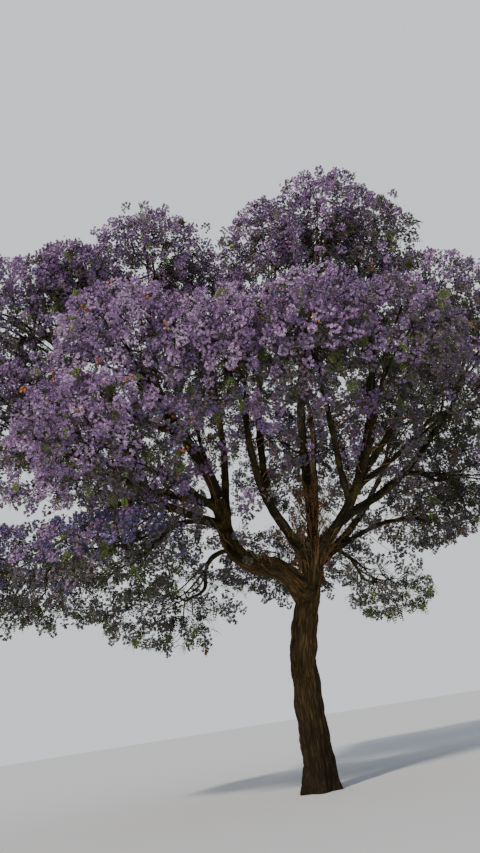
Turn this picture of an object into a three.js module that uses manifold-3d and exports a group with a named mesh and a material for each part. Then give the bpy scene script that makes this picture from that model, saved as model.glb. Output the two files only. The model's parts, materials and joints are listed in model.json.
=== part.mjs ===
// A jacaranda tree in full bloom, rooted in level ground.
// Millimetres, +Z up, the origin at the middle of the flat cut under the trunk.
// The trunk and boughs are tapering limbs. Each bough ends at a mass of blossom, which is a stem,
// twigs that branch by a seeded rule, and one flat spray of blossom at the end of each twig.
import * as THREE from 'three';
import { mergeVertices } from 'three/addons/utils/BufferGeometryUtils.js';
import Module from 'manifold-3d';

const wasm = await Module();
wasm.setup();

// Seats and clearances
const SEAT_GAP = 0.3;
const TOOL_EXTRA = 0.02;
const LIMB_CLEARANCE = 45;
const SPACE_MARGIN = 0.05;
const NEAR_SHARE = 1.6;

// The finest detail kept in a solid
const SAME_POINT = 0.001;
const SHORT_EDGE = 0.05;
const SMALLEST_DETAIL = 0.12;

// Limbs
const LIMB_SIDES = 7;
const LIMB_STEP = 1700;
const FEWEST_STEPS = 4;
const LIMB_TAPER = 0.8;
const LEAD_SHARE = 0.22;
const ENTRY_SHARE = 0.72;
const BOUGH_TIP_RADIUS = 46;
const THIN_BOUGH_SHARE = 0.75;

// The stem of a mass, which carries on from its bough
const HUB_SHARE = 0.55;
const STEM_SIDES = 6;
const STEM_STEPS = 3;
const STEM_FOOT_SHARE = 0.96;
const STEM_END_SHARE = 0.8;
const STEM_LEAD_SHARE = 0.5;
const STEM_OVERRUN = 35;

// The spiral on which sprays are tried, and the scatter about it
const SEED = 6;
const SEED_STEP = 7919;
const SPRAYS_TRIED = 20;
const GOLDEN_TURN = 2.39996;
const OUTER_SHARE = 0.985;
const INNER_SHARE = 0.66;
const INNER_EVERY = 4;
const SPRAY_SCATTER = 0.45;
const SPRAY_DROOP = 0.22;

// A spray: a flat blade that is widest at its middle
const SPRAY_LENGTH = 800;
const SPRAY_WIDTH = 620;
const SPRAY_THICKNESS = 240;
const SPRAY_WIDEST = 0.5;
const SPRAY_BRANCH = 0.2;
const SPRAY_SPACING = 330;
const SPRAY_ROWS = 8;

// Twigs
const TWIG_SIDES = 3;
const TWIG_RADIUS = 16;
const TWIG_GROWTH = 0.3;
const TWIG_TEST_STEP = 120;
const FORKS_TRIED = 5;
const PATH_COST = 0.3;
const CROWD_COST = 230;

// The trunk: its middle line from the ground to its upper fork, and its true taper
const TRUNK = {
  name: 'trunk',
  points: [
    [0, 0, 0],
    [45, 0, 600],
    [50, -20, 1700],
    [100, -30, 2600],
    [370, -10, 3620],
    [700, 20, 4550],
    [830, 30, 5220],
  ],
  sides: 15,
  steps: 12,
  rootRadius: 305,
  tipRadius: 205,
  taper: 3,
  flare: 125,
  flareHeight: 420,
  flareRidges: 5,
  ridgeDepth: 0.14,
};

// The heavy limb that leaves the trunk at its lower fork and bends up on the left
const LEFT_LIMB = {
  name: 'left_limb',
  points: [
    [500, 0, 3900],
    [0, -150, 4440],
    [-930, -350, 5010],
    [-1240, -500, 5750],
    [-1290, -560, 6450],
  ],
  sides: 10,
  steps: 8,
  rootRadius: 275,
  tipRadius: 165,
  taper: 0.8,
};

// One row for each bough and the mass at its end: the middle and half sizes of the mass, the limb
// that the bough grows from and the share of the way along it, how far the bough's middle is drawn
// off its straight line, and its radius at the root. A share of 1 carries on from the limb's tip.
// A row with a seed of its own branches by that one.
const CROWN = [
  { mass: 'left_top', centre: [-2260, -1000, 13440], reach: [1500, 1600, 1600],
    from: 'left_limb', at: 1, bend: [-1700, 0, 300], root: 158, seed: 4 },
  { mass: 'front_right', centre: [2970, -3200, 8410], reach: [1500, 1500, 1300],
    from: 'trunk', at: 0.93, bend: [700, 300, -500], root: 165 },
  { mass: 'top_middle', centre: [2530, -1600, 13020], reach: [1450, 1600, 1500],
    from: 'trunk', at: 1, bend: [-900, 0, 300], root: 150 },
  { mass: 'front_left', centre: [-480, -3600, 8550], reach: [1500, 1400, 1300],
    from: 'trunk', at: 0.9, bend: [-700, 300, -500], root: 150 },
  { mass: 'back_top', centre: [2050, 3200, 13200], reach: [2100, 1800, 1700],
    from: 'trunk', at: 0.97, bend: [300, 700, -400], root: 130 },
  { mass: 'back_right', centre: [4740, 4000, 9670], reach: [2000, 1800, 1700],
    from: 'trunk', at: 0.88, bend: [500, 500, -600], root: 120 },
  { mass: 'back_low', centre: [380, 4400, 5730], reach: [2000, 1500, 1050],
    from: 'trunk', at: 0.82, bend: [0, -200, 700], root: 95 },
  { mass: 'right_back', centre: [4610, 2800, 6270], reach: [1400, 1500, 1000],
    from: 'trunk', at: 0.85, bend: [0, 0, 600], root: 80 },
  { mass: 'right_skirt', centre: [2390, 400, 3870], reach: [1250, 1200, 750],
    from: 'trunk', at: 0.94, bend: [300, 0, 500], root: 48 },
  { mass: 'back_left', centre: [-2050, 3800, 11150], reach: [2000, 1800, 1800],
    from: 'left_limb', at: 0.55, bend: [-100, 700, -500], root: 130, seed: 2 },
  { mass: 'left_shoulder', centre: [-1140, 600, 13080], reach: [1350, 1500, 1400],
    from: 'left_limb', at: 0.72, bend: [300, 0, 0], root: 115 },
  { mass: 'back_far_left', centre: [-5770, 2600, 10500], reach: [1900, 1900, 1700],
    from: 'left_limb', at: 0.8, bend: [-500, 300, -600], root: 120 },
  { mass: 'left_near', centre: [-3350, -3800, 6900], reach: [1600, 1500, 1300],
    from: 'left_limb', at: 0.9, bend: [0, 0, 150], root: 95 },
  { mass: 'far_left_middle', centre: [-6090, -1400, 8990], reach: [1600, 1800, 1400],
    from: 'left_limb', at: 0.95, bend: [-400, 0, -450], root: 110 },
  { mass: 'left_low', centre: [-3480, -2600, 4790], reach: [1600, 1500, 1000],
    from: 'left_limb', at: 0.78, bend: [-200, 0, 700], root: 80 },
  { mass: 'left_skirt', centre: [-2480, -400, 3990], reach: [1400, 1400, 950],
    from: 'left_limb', at: 0.6, bend: [-350, 0, 450], root: 62 },
  { mass: 'left_front', centre: [-2630, -3400, 9130], reach: [1600, 1500, 1400],
    from: 'bough_left_top', at: 0.14, bend: [-100, -200, -300], root: 100 },
  { mass: 'far_left_top', centre: [-5630, -2000, 11410], reach: [1600, 1700, 1500],
    from: 'bough_left_top', at: 0.3, bend: [-400, -100, -500], root: 92 },
  { mass: 'left_notch', centre: [-4280, -1600, 12500], reach: [1100, 1300, 1100],
    from: 'bough_left_top', at: 0.5, bend: [-300, 0, -300], root: 76 },
  { mass: 'far_left_low', centre: [-5670, -1200, 5010], reach: [1800, 1700, 1150],
    from: 'bough_far_left_middle', at: 0.3, bend: [-700, 0, 500], root: 76 },
  { mass: 'back_low_left', centre: [-3620, 3400, 7600], reach: [1800, 1600, 1400],
    from: 'bough_back_far_left', at: 0.3, bend: [0, 300, 400], root: 82 },
  { mass: 'top_left', centre: [1230, -1000, 13170], reach: [1300, 1400, 1350],
    from: 'bough_front_left', at: 0.42, bend: [-700, -200, -200], root: 96 },
  { mass: 'front_middle', centre: [1280, -3900, 8450], reach: [1500, 1400, 1300],
    from: 'bough_front_right', at: 0.36, bend: [-100, 100, -100], root: 88 },
  { mass: 'top_right', centre: [3710, -600, 13160], reach: [1300, 1500, 1350],
    from: 'bough_front_right', at: 0.42, bend: [500, -400, -600], root: 100 },
  { mass: 'right_edge', centre: [6930, 800, 10520], reach: [1700, 1800, 1700],
    from: 'bough_front_right', at: 0.26, bend: [600, 200, -900], root: 112 },
  { mass: 'shoulder', centre: [4990, -400, 10820], reach: [1650, 1700, 1500],
    from: 'bough_front_right', at: 0.52, bend: [300, 0, -500], root: 90 },
  { mass: 'right_middle', centre: [4800, -1000, 7800], reach: [1900, 1800, 1300],
    from: 'bough_front_right', at: 0.46, bend: [100, 0, -100], root: 78 },
  { mass: 'right_low', centre: [5110, 800, 6370], reach: [1600, 1700, 1100],
    from: 'bough_right_edge', at: 0.3, bend: [0, 0, 250], root: 72 },
  { mass: 'back_middle', centre: [1380, 5000, 9400], reach: [1700, 1400, 1500],
    from: 'bough_back_top', at: 0.22, bend: [0, 500, -300], root: 88 },
];

// Finishes
const BARK = { color: 0x5c4737, roughness: 0.95, metalness: 0 };
const BLOSSOM = { color: 0x8c76b8, roughness: 0.85, metalness: 0 };

const vector = ([x, y, z]) => new THREE.Vector3(x, y, z);

// A repeatable stream of numbers from 0 to 1
function seededRandom(seed) {
  const [factor, range] = [16807, 2147483647];
  let state = seed;
  return () => {
    state = (state * factor) % range;
    return state / range;
  };
}

// A solid from its vertices and the corners of its faces, with empty faces left out
function solidFrom(spots, corners) {
  const faces = [];
  for (let i = 0; i < corners.length; i += 3) {
    const [a, b, c] = [corners[i], corners[i + 1], corners[i + 2]];
    if (a !== b && b !== c && c !== a) faces.push(a, b, c);
  }
  return new wasm.Manifold(new wasm.Mesh({
    numProp: 3,
    vertProperties: Float32Array.from(spots),
    triVerts: Uint32Array.from(faces),
  }));
}

// A closed geometry as a solid whose faces point outwards
function solidOf(geometry) {
  geometry.deleteAttribute('normal');
  geometry.deleteAttribute('uv');
  const merged = mergeVertices(geometry, SAME_POINT);
  const spots = merged.attributes.position.array;
  const corners = Array.from(merged.index.array);
  const solid = solidFrom(spots, corners);
  return solid.volume() > 0 ? solid : solidFrom(spots, corners.reverse());
}

// The largest body of a solid: loose scraps and sealed hollows are left out
function mainBody(solid) {
  const bodies = solid.simplify(SMALLEST_DETAIL).decompose();
  return bodies.reduce((best, body) => (body.volume() > best.volume() ? body : best));
}

// The same solid with each edge that is too short to matter closed to a point
function withoutShortEdges(solid) {
  const { vertProperties: spots, triVerts: corners } = solid.getMesh();
  const same = Array.from({ length: spots.length / 3 }, (_, i) => i);
  const root = (i) => (same[i] === i ? i : root(same[i]));
  const spot = (i) => new THREE.Vector3().fromArray(spots, 3 * i);
  for (let i = 0; i < corners.length; i++) {
    const from = corners[i];
    const to = corners[i % 3 === 2 ? i - 2 : i + 1];
    if (spot(from).distanceTo(spot(to)) < SHORT_EDGE) same[root(to)] = root(from);
  }
  return solidFrom(spots, Array.from(corners, root));
}

// A named mesh of a solid, with its own origin on the tree
function meshOf(name, solid, finish, origin) {
  const placed = solid.translate([-origin.x, -origin.y, -origin.z]);
  const mesh = withoutShortEdges(placed).simplify(SMALLEST_DETAIL).getMesh();
  const geometry = new THREE.BufferGeometry();
  geometry.setAttribute('position', new THREE.BufferAttribute(mesh.vertProperties, 3));
  geometry.setIndex(new THREE.BufferAttribute(mesh.triVerts, 1));
  geometry.computeVertexNormals();
  const part = new THREE.Mesh(geometry, new THREE.MeshStandardMaterial(finish));
  part.name = name;
  part.position.copy(origin);
  return part;
}

// A limb's radius at a share of its length, with the ridged root flare where it has one
function limbRadius(limb, share, height = Infinity, angle = 0) {
  const bole = limb.rootRadius + (limb.tipRadius - limb.rootRadius) * share ** limb.taper;
  if (!limb.flare) return bole;
  const fade = Math.exp(-height / limb.flareHeight);
  const ridge = 1 + limb.ridgeDepth * fade * Math.cos(limb.flareRidges * angle);
  return (bole + limb.flare * fade) * ridge;
}

// A round form around a limb's line. A grown one is the tool that cuts the limbs which meet it.
function limbForm(limb, growth = 0) {
  const profile = [new THREE.Vector2(0, 0)];
  for (let i = 0; i <= limb.steps; i++) profile.push(new THREE.Vector2(1, i));
  profile.push(new THREE.Vector2(0, limb.steps));
  const geometry = new THREE.LatheGeometry(profile, limb.sides);
  const frames = limb.curve.computeFrenetFrames(limb.steps);
  const spots = limb.curve.getSpacedPoints(limb.steps);
  const place = geometry.attributes.position;
  for (let i = 0; i < place.count; i++) {
    const ring = Math.round(place.getY(i));
    const [side, out] = [place.getX(i), place.getZ(i)];
    const spot = spots[ring].clone();
    const radius = limbRadius(limb, ring / limb.steps, spot.z, Math.atan2(out, side)) + growth;
    spot.addScaledVector(frames.normals[ring], side * radius);
    spot.addScaledVector(frames.binormals[ring], out * radius);
    if (ring === limb.steps) spot.addScaledVector(frames.tangents[ring], growth);
    if (limb.flare && ring === 0) spot.z = 0;
    place.setXYZ(i, spot.x, spot.y, spot.z);
  }
  return solidOf(geometry);
}

// A limb ready to grow from: its curve, its tip, and spots along it for the clearance of twigs
function prepareLimb(limb, curve) {
  const steps = limb.steps ?? Math.max(FEWEST_STEPS, Math.round(curve.getLength() / LIMB_STEP));
  const whole = { sides: LIMB_SIDES, taper: LIMB_TAPER, ...limb, curve, steps };
  whole.tip = curve.getPointAt(1);
  whole.heading = curve.getTangentAt(1);
  const pieces = steps * 3;
  whole.spots = curve.getSpacedPoints(pieces).map((place, i) => ({
    place,
    radius: limbRadius(whole, i / pieces, place.z),
  }));
  return whole;
}

// Where a bough starts, bends and ends: on its parent's line, and a little way into its own mass
function boughCurve(row, parent) {
  const centre = vector(row.centre);
  const reach = vector(row.reach);
  const carriesOn = row.at === 1;
  const start = parent.curve.getPointAt(row.at);
  if (carriesOn) start.addScaledVector(parent.heading, SEAT_GAP);
  const inward = start.clone().sub(centre).divide(reach).normalize();
  const end = centre.clone().add(inward.multiply(reach).multiplyScalar(ENTRY_SHARE));
  const middle = start.clone().add(end).multiplyScalar(0.5).add(vector(row.bend));
  if (!carriesOn) return new THREE.QuadraticBezierCurve3(start, middle, end);
  const lead = start.clone().addScaledVector(parent.heading, start.distanceTo(end) * LEAD_SHARE);
  return new THREE.CubicBezierCurve3(start, lead, middle, end);
}

// A limb's body, cut clear of every limb made before it, and its own tool for those after it
function seatLimb(limb, earlier) {
  const cut = earlier.reduce((whole, other) => whole.subtract(other.tool), limbForm(limb));
  limb.tool = limbForm(limb, SEAT_GAP / Math.cos(Math.PI / limb.sides) + TOOL_EXTRA);
  return mainBody(cut);
}

// How far a point is from a mass's middle, as a share of its reach
function shareOut(point, mass) {
  return point.clone().sub(mass.centre).divide(mass.reach).length();
}

// Whether a point lies in a mass's own space: within its reach and nearer to it than to any other
function inOwnSpace(point, mass, masses) {
  const share = shareOut(point, mass);
  if (share > 1) return false;
  return masses.every((other) => other === mass || shareOut(point, other) > share + SPACE_MARGIN);
}

// Whether a point keeps clear of every limb
function clearOfLimbs(point, limbs) {
  return limbs.every((limb) => limb.spots.every(({ place, radius }, i) => {
    if (i === 0) return true;
    const from = limb.spots[i - 1];
    const line = new THREE.Line3(from.place, place);
    const nearest = line.closestPointToPoint(point, true, new THREE.Vector3());
    return nearest.distanceTo(point) > Math.max(from.radius, radius) + LIMB_CLEARANCE;
  }));
}

// The turn that lays the Y axis along a direction, rolled about it
function turnTo(direction, roll) {
  const up = new THREE.Vector3(0, 1, 0);
  const turn = new THREE.Quaternion().setFromUnitVectors(up, direction);
  return turn.multiply(new THREE.Quaternion().setFromAxisAngle(up, roll));
}

// A twig and the flat spray at its end as one three-sided form: it starts inside the fork that it
// grows from, runs to the foot of its spray, widens to the spray's middle and closes at its tip.
function sprayForm(fork) {
  const { parent, spray, radius } = fork;
  const along = spray.base.clone().sub(parent.place).normalize();
  const turn = turnTo(spray.axis, spray.roll);
  const middle = { turn, wide: SPRAY_WIDTH / 2, thick: SPRAY_THICKNESS / 2 };
  const start = parent.place.clone().addScaledVector(along, -radius);
  const rings = [
    { place: start, turn: turnTo(along, spray.roll), wide: radius, thick: radius },
    { place: spray.base, turn, wide: radius, thick: radius },
    { place: spray.base.clone().lerp(spray.tip, SPRAY_WIDEST), ...middle },
    { place: spray.tip, ...middle },
  ];
  const outline = [[0, 0], [1, 0], [1, 1], [1, 2], [0, 3]];
  const profile = outline.map(([x, y]) => new THREE.Vector2(x, y));
  const geometry = new THREE.LatheGeometry(profile, TWIG_SIDES);
  const place = geometry.attributes.position;
  for (let i = 0; i < place.count; i++) {
    const ring = rings[Math.round(place.getY(i))];
    const spot = new THREE.Vector3(place.getX(i) * ring.wide, 0, place.getZ(i) * ring.thick);
    spot.applyQuaternion(ring.turn).add(ring.place);
    place.setXYZ(i, spot.x, spot.y, spot.z);
  }
  return solidOf(geometry);
}

// The spray tried at one step of a spiral over the mass: most at its outside, some further in
function trySpray(mass, step, random) {
  const height = 1 - (2 * (step + 0.5)) / SPRAYS_TRIED;
  const angle = step * GOLDEN_TURN + mass.index;
  const ring = Math.sqrt(1 - height * height);
  const outward = new THREE.Vector3(ring * Math.cos(angle), ring * Math.sin(angle), height);
  const share = step % INNER_EVERY === 0 ? INNER_SHARE : OUTER_SHARE;
  const tip = outward.clone().multiply(mass.reach).multiplyScalar(share).add(mass.centre);
  const axis = outward.clone();
  axis.x += (random() - 0.5) * SPRAY_SCATTER;
  axis.y += (random() - 0.5) * SPRAY_SCATTER;
  axis.z += (random() - 0.5) * SPRAY_SCATTER - SPRAY_DROOP;
  axis.normalize();
  const base = tip.clone().addScaledVector(axis, -SPRAY_LENGTH);
  const branch = base.clone().lerp(tip, SPRAY_BRANCH);
  return { tip, axis, base, branch, roll: random() * Math.PI };
}

// Points over a spray's flat outline, for the tests of its space and clearance
function sprayPoints(spray) {
  const turn = turnTo(spray.axis, spray.roll);
  const wide = new THREE.Vector3(SPRAY_WIDTH / 2, 0, 0).applyQuaternion(turn);
  const points = [];
  for (let along = 0; along <= SPRAY_ROWS; along++) {
    const share = along / SPRAY_ROWS;
    const spread = share < SPRAY_WIDEST ? share / SPRAY_WIDEST : (1 - share) / (1 - SPRAY_WIDEST);
    for (const side of [-1, -0.5, 0, 0.5, 1]) {
      points.push(spray.base.clone().lerp(spray.tip, share).addScaledVector(wide, side * spread));
    }
  }
  return points;
}

// Points along a twig, for the same tests
function twigPoints(from, to) {
  const count = Math.max(2, Math.ceil(from.distanceTo(to) / TWIG_TEST_STEP));
  return Array.from({ length: count }, (_, i) => from.clone().lerp(to, (i + 1) / count));
}

// The sprays of a mass that lie wholly in its free space, the nearest to its hub first
function freeSprays(mass, free, random) {
  const tried = Array.from({ length: SPRAYS_TRIED }, (_, step) => trySpray(mass, step, random));
  const sprays = tried.filter((spray) => sprayPoints(spray).every(free));
  return sprays.sort((a, b) => a.branch.distanceTo(mass.hub) - b.branch.distanceTo(mass.hub));
}

// The fork that gives a spray the shortest free way to the stem without crowding
function bestFork(spray, forks, free) {
  const reach = (fork) => fork.place.distanceTo(spray.branch);
  const cost = (fork) => reach(fork) + fork.path * PATH_COST + fork.twigs * CROWD_COST;
  const cheapest = [...forks].sort((a, b) => cost(a) - cost(b)).slice(0, FORKS_TRIED);
  return cheapest.find((fork) => twigPoints(fork.place, spray.branch).every(free));
}

// The branching rule: each spray joins its best fork, and is skipped where it would crowd another
function growForks(mass, masses, limbs, random) {
  const beside = ({ place }) => shareOut(place, mass) < NEAR_SHARE;
  const near = limbs.filter((limb) => limb.spots.some(beside));
  const free = (point) => inOwnSpace(point, mass, masses) && clearOfLimbs(point, near);
  const forks = [{ place: mass.hub, parent: null, path: 0, load: 0, twigs: 0 }];
  for (const spray of freeSprays(mass, free, random)) {
    const crowds = (fork) => fork.parent && fork.place.distanceTo(spray.branch) < SPRAY_SPACING;
    const parent = forks.some(crowds) ? null : bestFork(spray, forks, free);
    if (!parent) continue;
    parent.twigs += 1;
    const path = parent.path + parent.place.distanceTo(spray.branch);
    const grown = { place: spray.branch, parent, path, load: 0, twigs: 0, spray };
    forks.push(grown);
    for (let fork = grown; fork; fork = fork.parent) fork.load += 1;
  }
  return forks;
}

// The stem of a mass: from its bough's tip, bending to the hub that its twigs grow from
function stemForm(mass, endRadius) {
  const { bough, hub } = mass;
  const foot = bough.tip.clone().addScaledVector(bough.heading, SEAT_GAP);
  const lead = foot.distanceTo(hub) * STEM_LEAD_SHARE;
  const knee = foot.clone().addScaledVector(bough.heading, lead);
  const end = hub.clone().addScaledVector(hub.clone().sub(knee).normalize(), STEM_OVERRUN);
  return limbForm({
    curve: new THREE.QuadraticBezierCurve3(foot, knee, end),
    sides: STEM_SIDES,
    steps: STEM_STEPS,
    taper: 1,
    rootRadius: bough.tipRadius * STEM_FOOT_SHARE,
    tipRadius: Math.min(bough.tipRadius * STEM_END_SHARE, endRadius),
  });
}

// One mass: its stem, twigs and sprays joined into one body
function massForm(mass, masses, limbs) {
  const random = seededRandom(mass.seed + SEED_STEP * mass.index);
  const forks = growForks(mass, masses, limbs, random);
  for (const fork of forks) fork.radius = TWIG_RADIUS * fork.load ** TWIG_GROWTH;
  const [hub, ...others] = forks;
  const pieces = [stemForm(mass, hub.radius), ...others.map(sprayForm)];
  return mainBody(pieces.reduce((whole, piece) => whole.add(piece)));
}

const tree = new THREE.Group();
const limbs = new Map();

// Adds a limb to the tree, cut clear of those already there
function addLimb(limb) {
  const solid = seatLimb(limb, [...limbs.values()]);
  limbs.set(limb.name, limb);
  tree.add(meshOf(limb.name, solid, BARK, limb.curve.getPointAt(0)));
}

// The trunk and the left limb, then a bough for each mass
for (const limb of [TRUNK, LEFT_LIMB]) {
  addLimb(prepareLimb(limb, new THREE.CatmullRomCurve3(limb.points.map(vector))));
}
for (const row of CROWN) {
  addLimb(prepareLimb({
    name: `bough_${row.mass}`,
    rootRadius: row.root,
    tipRadius: Math.min(BOUGH_TIP_RADIUS, row.root * THIN_BOUGH_SHARE),
  }, boughCurve(row, limbs.get(row.from))));
}

// The masses, each in its own space at the end of its bough
const masses = CROWN.map((row, index) => {
  const bough = limbs.get(`bough_${row.mass}`);
  const centre = vector(row.centre);
  const hub = bough.tip.clone().lerp(centre, HUB_SHARE);
  const { mass: name, seed = SEED } = row;
  return { name, seed, index, centre, reach: vector(row.reach), bough, hub };
});
for (const mass of masses) {
  const solid = massForm(mass, masses, [...limbs.values()]);
  tree.add(meshOf(`blossom_${mass.name}`, solid, BLOSSOM, mass.centre));
}

export default tree;
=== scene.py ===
"""The looks of a jacaranda tree in full bloom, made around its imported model.

Metres, +Z up, the origin at the middle of the flat cut under the trunk. The trunk, the left limb and the
boughs are given bark with real relief. Each mass of blossom is grown again by the rule that shapes its
plain solid, carried on to finer twigs, and dressed with panicles of flowers, leaves and a few old pods.
"""
import json
import logging
import math
from collections.abc import Callable, Iterable
from dataclasses import dataclass, field, replace
from enum import Enum

import bmesh
import bpy
import numpy as np
from mathutils import Matrix, Vector, noise

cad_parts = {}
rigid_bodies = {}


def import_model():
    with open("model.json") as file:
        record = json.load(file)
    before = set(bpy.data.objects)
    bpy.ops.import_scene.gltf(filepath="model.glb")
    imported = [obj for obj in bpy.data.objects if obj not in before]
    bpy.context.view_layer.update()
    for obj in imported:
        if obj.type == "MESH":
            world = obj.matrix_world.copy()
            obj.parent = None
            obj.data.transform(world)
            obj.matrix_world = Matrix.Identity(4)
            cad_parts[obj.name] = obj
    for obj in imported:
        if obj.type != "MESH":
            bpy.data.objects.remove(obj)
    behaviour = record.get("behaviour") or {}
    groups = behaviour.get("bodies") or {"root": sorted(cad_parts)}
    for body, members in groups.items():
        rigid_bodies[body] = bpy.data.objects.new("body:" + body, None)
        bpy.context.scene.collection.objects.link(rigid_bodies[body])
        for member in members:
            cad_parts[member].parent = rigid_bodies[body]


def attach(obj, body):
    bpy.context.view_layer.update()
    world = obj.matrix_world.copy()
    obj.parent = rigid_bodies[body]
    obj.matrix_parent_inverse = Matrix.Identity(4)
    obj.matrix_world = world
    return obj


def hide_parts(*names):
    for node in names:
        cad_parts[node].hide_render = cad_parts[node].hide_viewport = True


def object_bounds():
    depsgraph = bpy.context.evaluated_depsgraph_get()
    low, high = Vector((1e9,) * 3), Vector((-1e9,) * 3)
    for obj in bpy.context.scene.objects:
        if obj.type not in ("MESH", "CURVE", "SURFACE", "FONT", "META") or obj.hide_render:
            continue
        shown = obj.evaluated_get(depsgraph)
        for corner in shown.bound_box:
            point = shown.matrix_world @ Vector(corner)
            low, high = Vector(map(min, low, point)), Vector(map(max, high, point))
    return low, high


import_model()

CAD_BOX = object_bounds()
BODY = "root"
LOG = logging.getLogger("jacaranda")

Array = np.ndarray
Place = tuple[float, float, float]
Colour = tuple[float, float, float]

GOLDEN_TURN = 2.39996
SEAT_GAP = 0.0003
UP = np.array([0.0, 0.0, 1.0])
SEED = 11


@dataclass(frozen=True)
class MassRow:
    """One bough and the mass of blossom at its end.

    Attributes:
        mass: The mass's plain name.
        centre: The middle of the mass.
        reach: Its half sizes.
        parent: The limb that its bough grows from.
        share: How far along that limb the bough starts. A share of 1 carries on from the limb's tip.
        bend: How far the bough's middle is drawn off its straight line.
        root: The bough's radius at its root.
        seed: The seed that the mass branches by.
    """

    mass: str
    centre: Place
    reach: Place
    parent: str
    share: float
    bend: Place
    root: float
    seed: int = 6


CROWN = tuple(MassRow(*row) for row in (
    ("left_top", (-2.26, -1, 13.44), (1.5, 1.6, 1.6), "left_limb", 1, (-1.7, 0, 0.3), 0.158, 4),
    ("front_right", (2.97, -3.2, 8.41), (1.5, 1.5, 1.3), "trunk", 0.93, (0.7, 0.3, -0.5), 0.165),
    ("top_middle", (2.53, -1.6, 13.02), (1.45, 1.6, 1.5), "trunk", 1, (-0.9, 0, 0.3), 0.15),
    ("front_left", (-0.48, -3.6, 8.55), (1.5, 1.4, 1.3), "trunk", 0.9, (-0.7, 0.3, -0.5), 0.15),
    ("back_top", (2.05, 3.2, 13.2), (2.1, 1.8, 1.7), "trunk", 0.97, (0.3, 0.7, -0.4), 0.13),
    ("back_right", (4.74, 4, 9.67), (2, 1.8, 1.7), "trunk", 0.88, (0.5, 0.5, -0.6), 0.12),
    ("back_low", (0.38, 4.4, 5.73), (2, 1.5, 1.05), "trunk", 0.82, (0, -0.2, 0.7), 0.095),
    ("right_back", (4.61, 2.8, 6.27), (1.4, 1.5, 1), "trunk", 0.85, (0, 0, 0.6), 0.08),
    ("right_skirt", (2.39, 0.4, 3.87), (1.25, 1.2, 0.75), "trunk", 0.94, (0.3, 0, 0.5), 0.048),
    ("back_left", (-2.05, 3.8, 11.15), (2, 1.8, 1.8), "left_limb", 0.55, (-0.1, 0.7, -0.5), 0.13, 2),
    ("left_shoulder", (-1.14, 0.6, 13.08), (1.35, 1.5, 1.4), "left_limb", 0.72, (0.3, 0, 0), 0.115),
    ("back_far_left", (-5.77, 2.6, 10.5), (1.9, 1.9, 1.7), "left_limb", 0.8, (-0.5, 0.3, -0.6), 0.12),
    ("left_near", (-3.35, -3.8, 6.9), (1.6, 1.5, 1.3), "left_limb", 0.9, (0, 0, 0.15), 0.095),
    ("far_left_middle", (-6.09, -1.4, 8.99), (1.6, 1.8, 1.4), "left_limb", 0.95, (-0.4, 0, -0.45), 0.11),
    ("left_low", (-3.48, -2.6, 4.79), (1.6, 1.5, 1), "left_limb", 0.78, (-0.2, 0, 0.7), 0.08),
    ("left_skirt", (-2.48, -0.4, 3.99), (1.4, 1.4, 0.95), "left_limb", 0.6, (-0.35, 0, 0.45), 0.062),
    ("left_front", (-2.63, -3.4, 9.13), (1.6, 1.5, 1.4), "bough_left_top", 0.14, (-0.1, -0.2, -0.3), 0.1),
    ("far_left_top", (-5.63, -2, 11.41), (1.6, 1.7, 1.5), "bough_left_top", 0.3, (-0.4, -0.1, -0.5), 0.092),
    ("left_notch", (-4.28, -1.6, 12.5), (1.1, 1.3, 1.1), "bough_left_top", 0.5, (-0.3, 0, -0.3), 0.076),
    ("far_left_low", (-5.67, -1.2, 5.01), (1.8, 1.7, 1.15), "bough_far_left_middle", 0.3,
     (-0.7, 0, 0.5), 0.076),
    ("back_low_left", (-3.62, 3.4, 7.6), (1.8, 1.6, 1.4), "bough_back_far_left", 0.3, (0, 0.3, 0.4), 0.082),
    ("top_left", (1.23, -1, 13.17), (1.3, 1.4, 1.35), "bough_front_left", 0.42, (-0.7, -0.2, -0.2), 0.096),
    ("front_middle", (1.28, -3.9, 8.45), (1.5, 1.4, 1.3), "bough_front_right", 0.36,
     (-0.1, 0.1, -0.1), 0.088),
    ("top_right", (3.71, -0.6, 13.16), (1.3, 1.5, 1.35), "bough_front_right", 0.42, (0.5, -0.4, -0.6), 0.1),
    ("right_edge", (6.93, 0.8, 10.52), (1.7, 1.8, 1.7), "bough_front_right", 0.26, (0.6, 0.2, -0.9), 0.112),
    ("shoulder", (4.99, -0.4, 10.82), (1.65, 1.7, 1.5), "bough_front_right", 0.52, (0.3, 0, -0.5), 0.09),
    ("right_middle", (4.8, -1, 7.8), (1.9, 1.8, 1.3), "bough_front_right", 0.46, (0.1, 0, -0.1), 0.078),
    ("right_low", (5.11, 0.8, 6.37), (1.6, 1.7, 1.1), "bough_right_edge", 0.3, (0, 0, 0.25), 0.072),
    ("back_middle", (1.38, 5, 9.4), (1.7, 1.4, 1.5), "bough_back_top", 0.22, (0, 0.5, -0.3), 0.088),
))

TRUNK_LINE = (
    (0, 0, 0), (0.045, 0, 0.6), (0.05, -0.02, 1.7), (0.1, -0.03, 2.6),
    (0.37, -0.01, 3.62), (0.7, 0.02, 4.55), (0.83, 0.03, 5.22),
)
LEFT_LIMB_LINE = (
    (0.5, 0, 3.9), (0, -0.15, 4.44), (-0.93, -0.35, 5.01), (-1.24, -0.5, 5.75), (-1.29, -0.56, 6.45),
)


def unit(vectors: Array) -> Array:
    """Vectors made one long, along the last axis."""
    return vectors / np.linalg.norm(vectors, axis=-1, keepdims=True)


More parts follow.
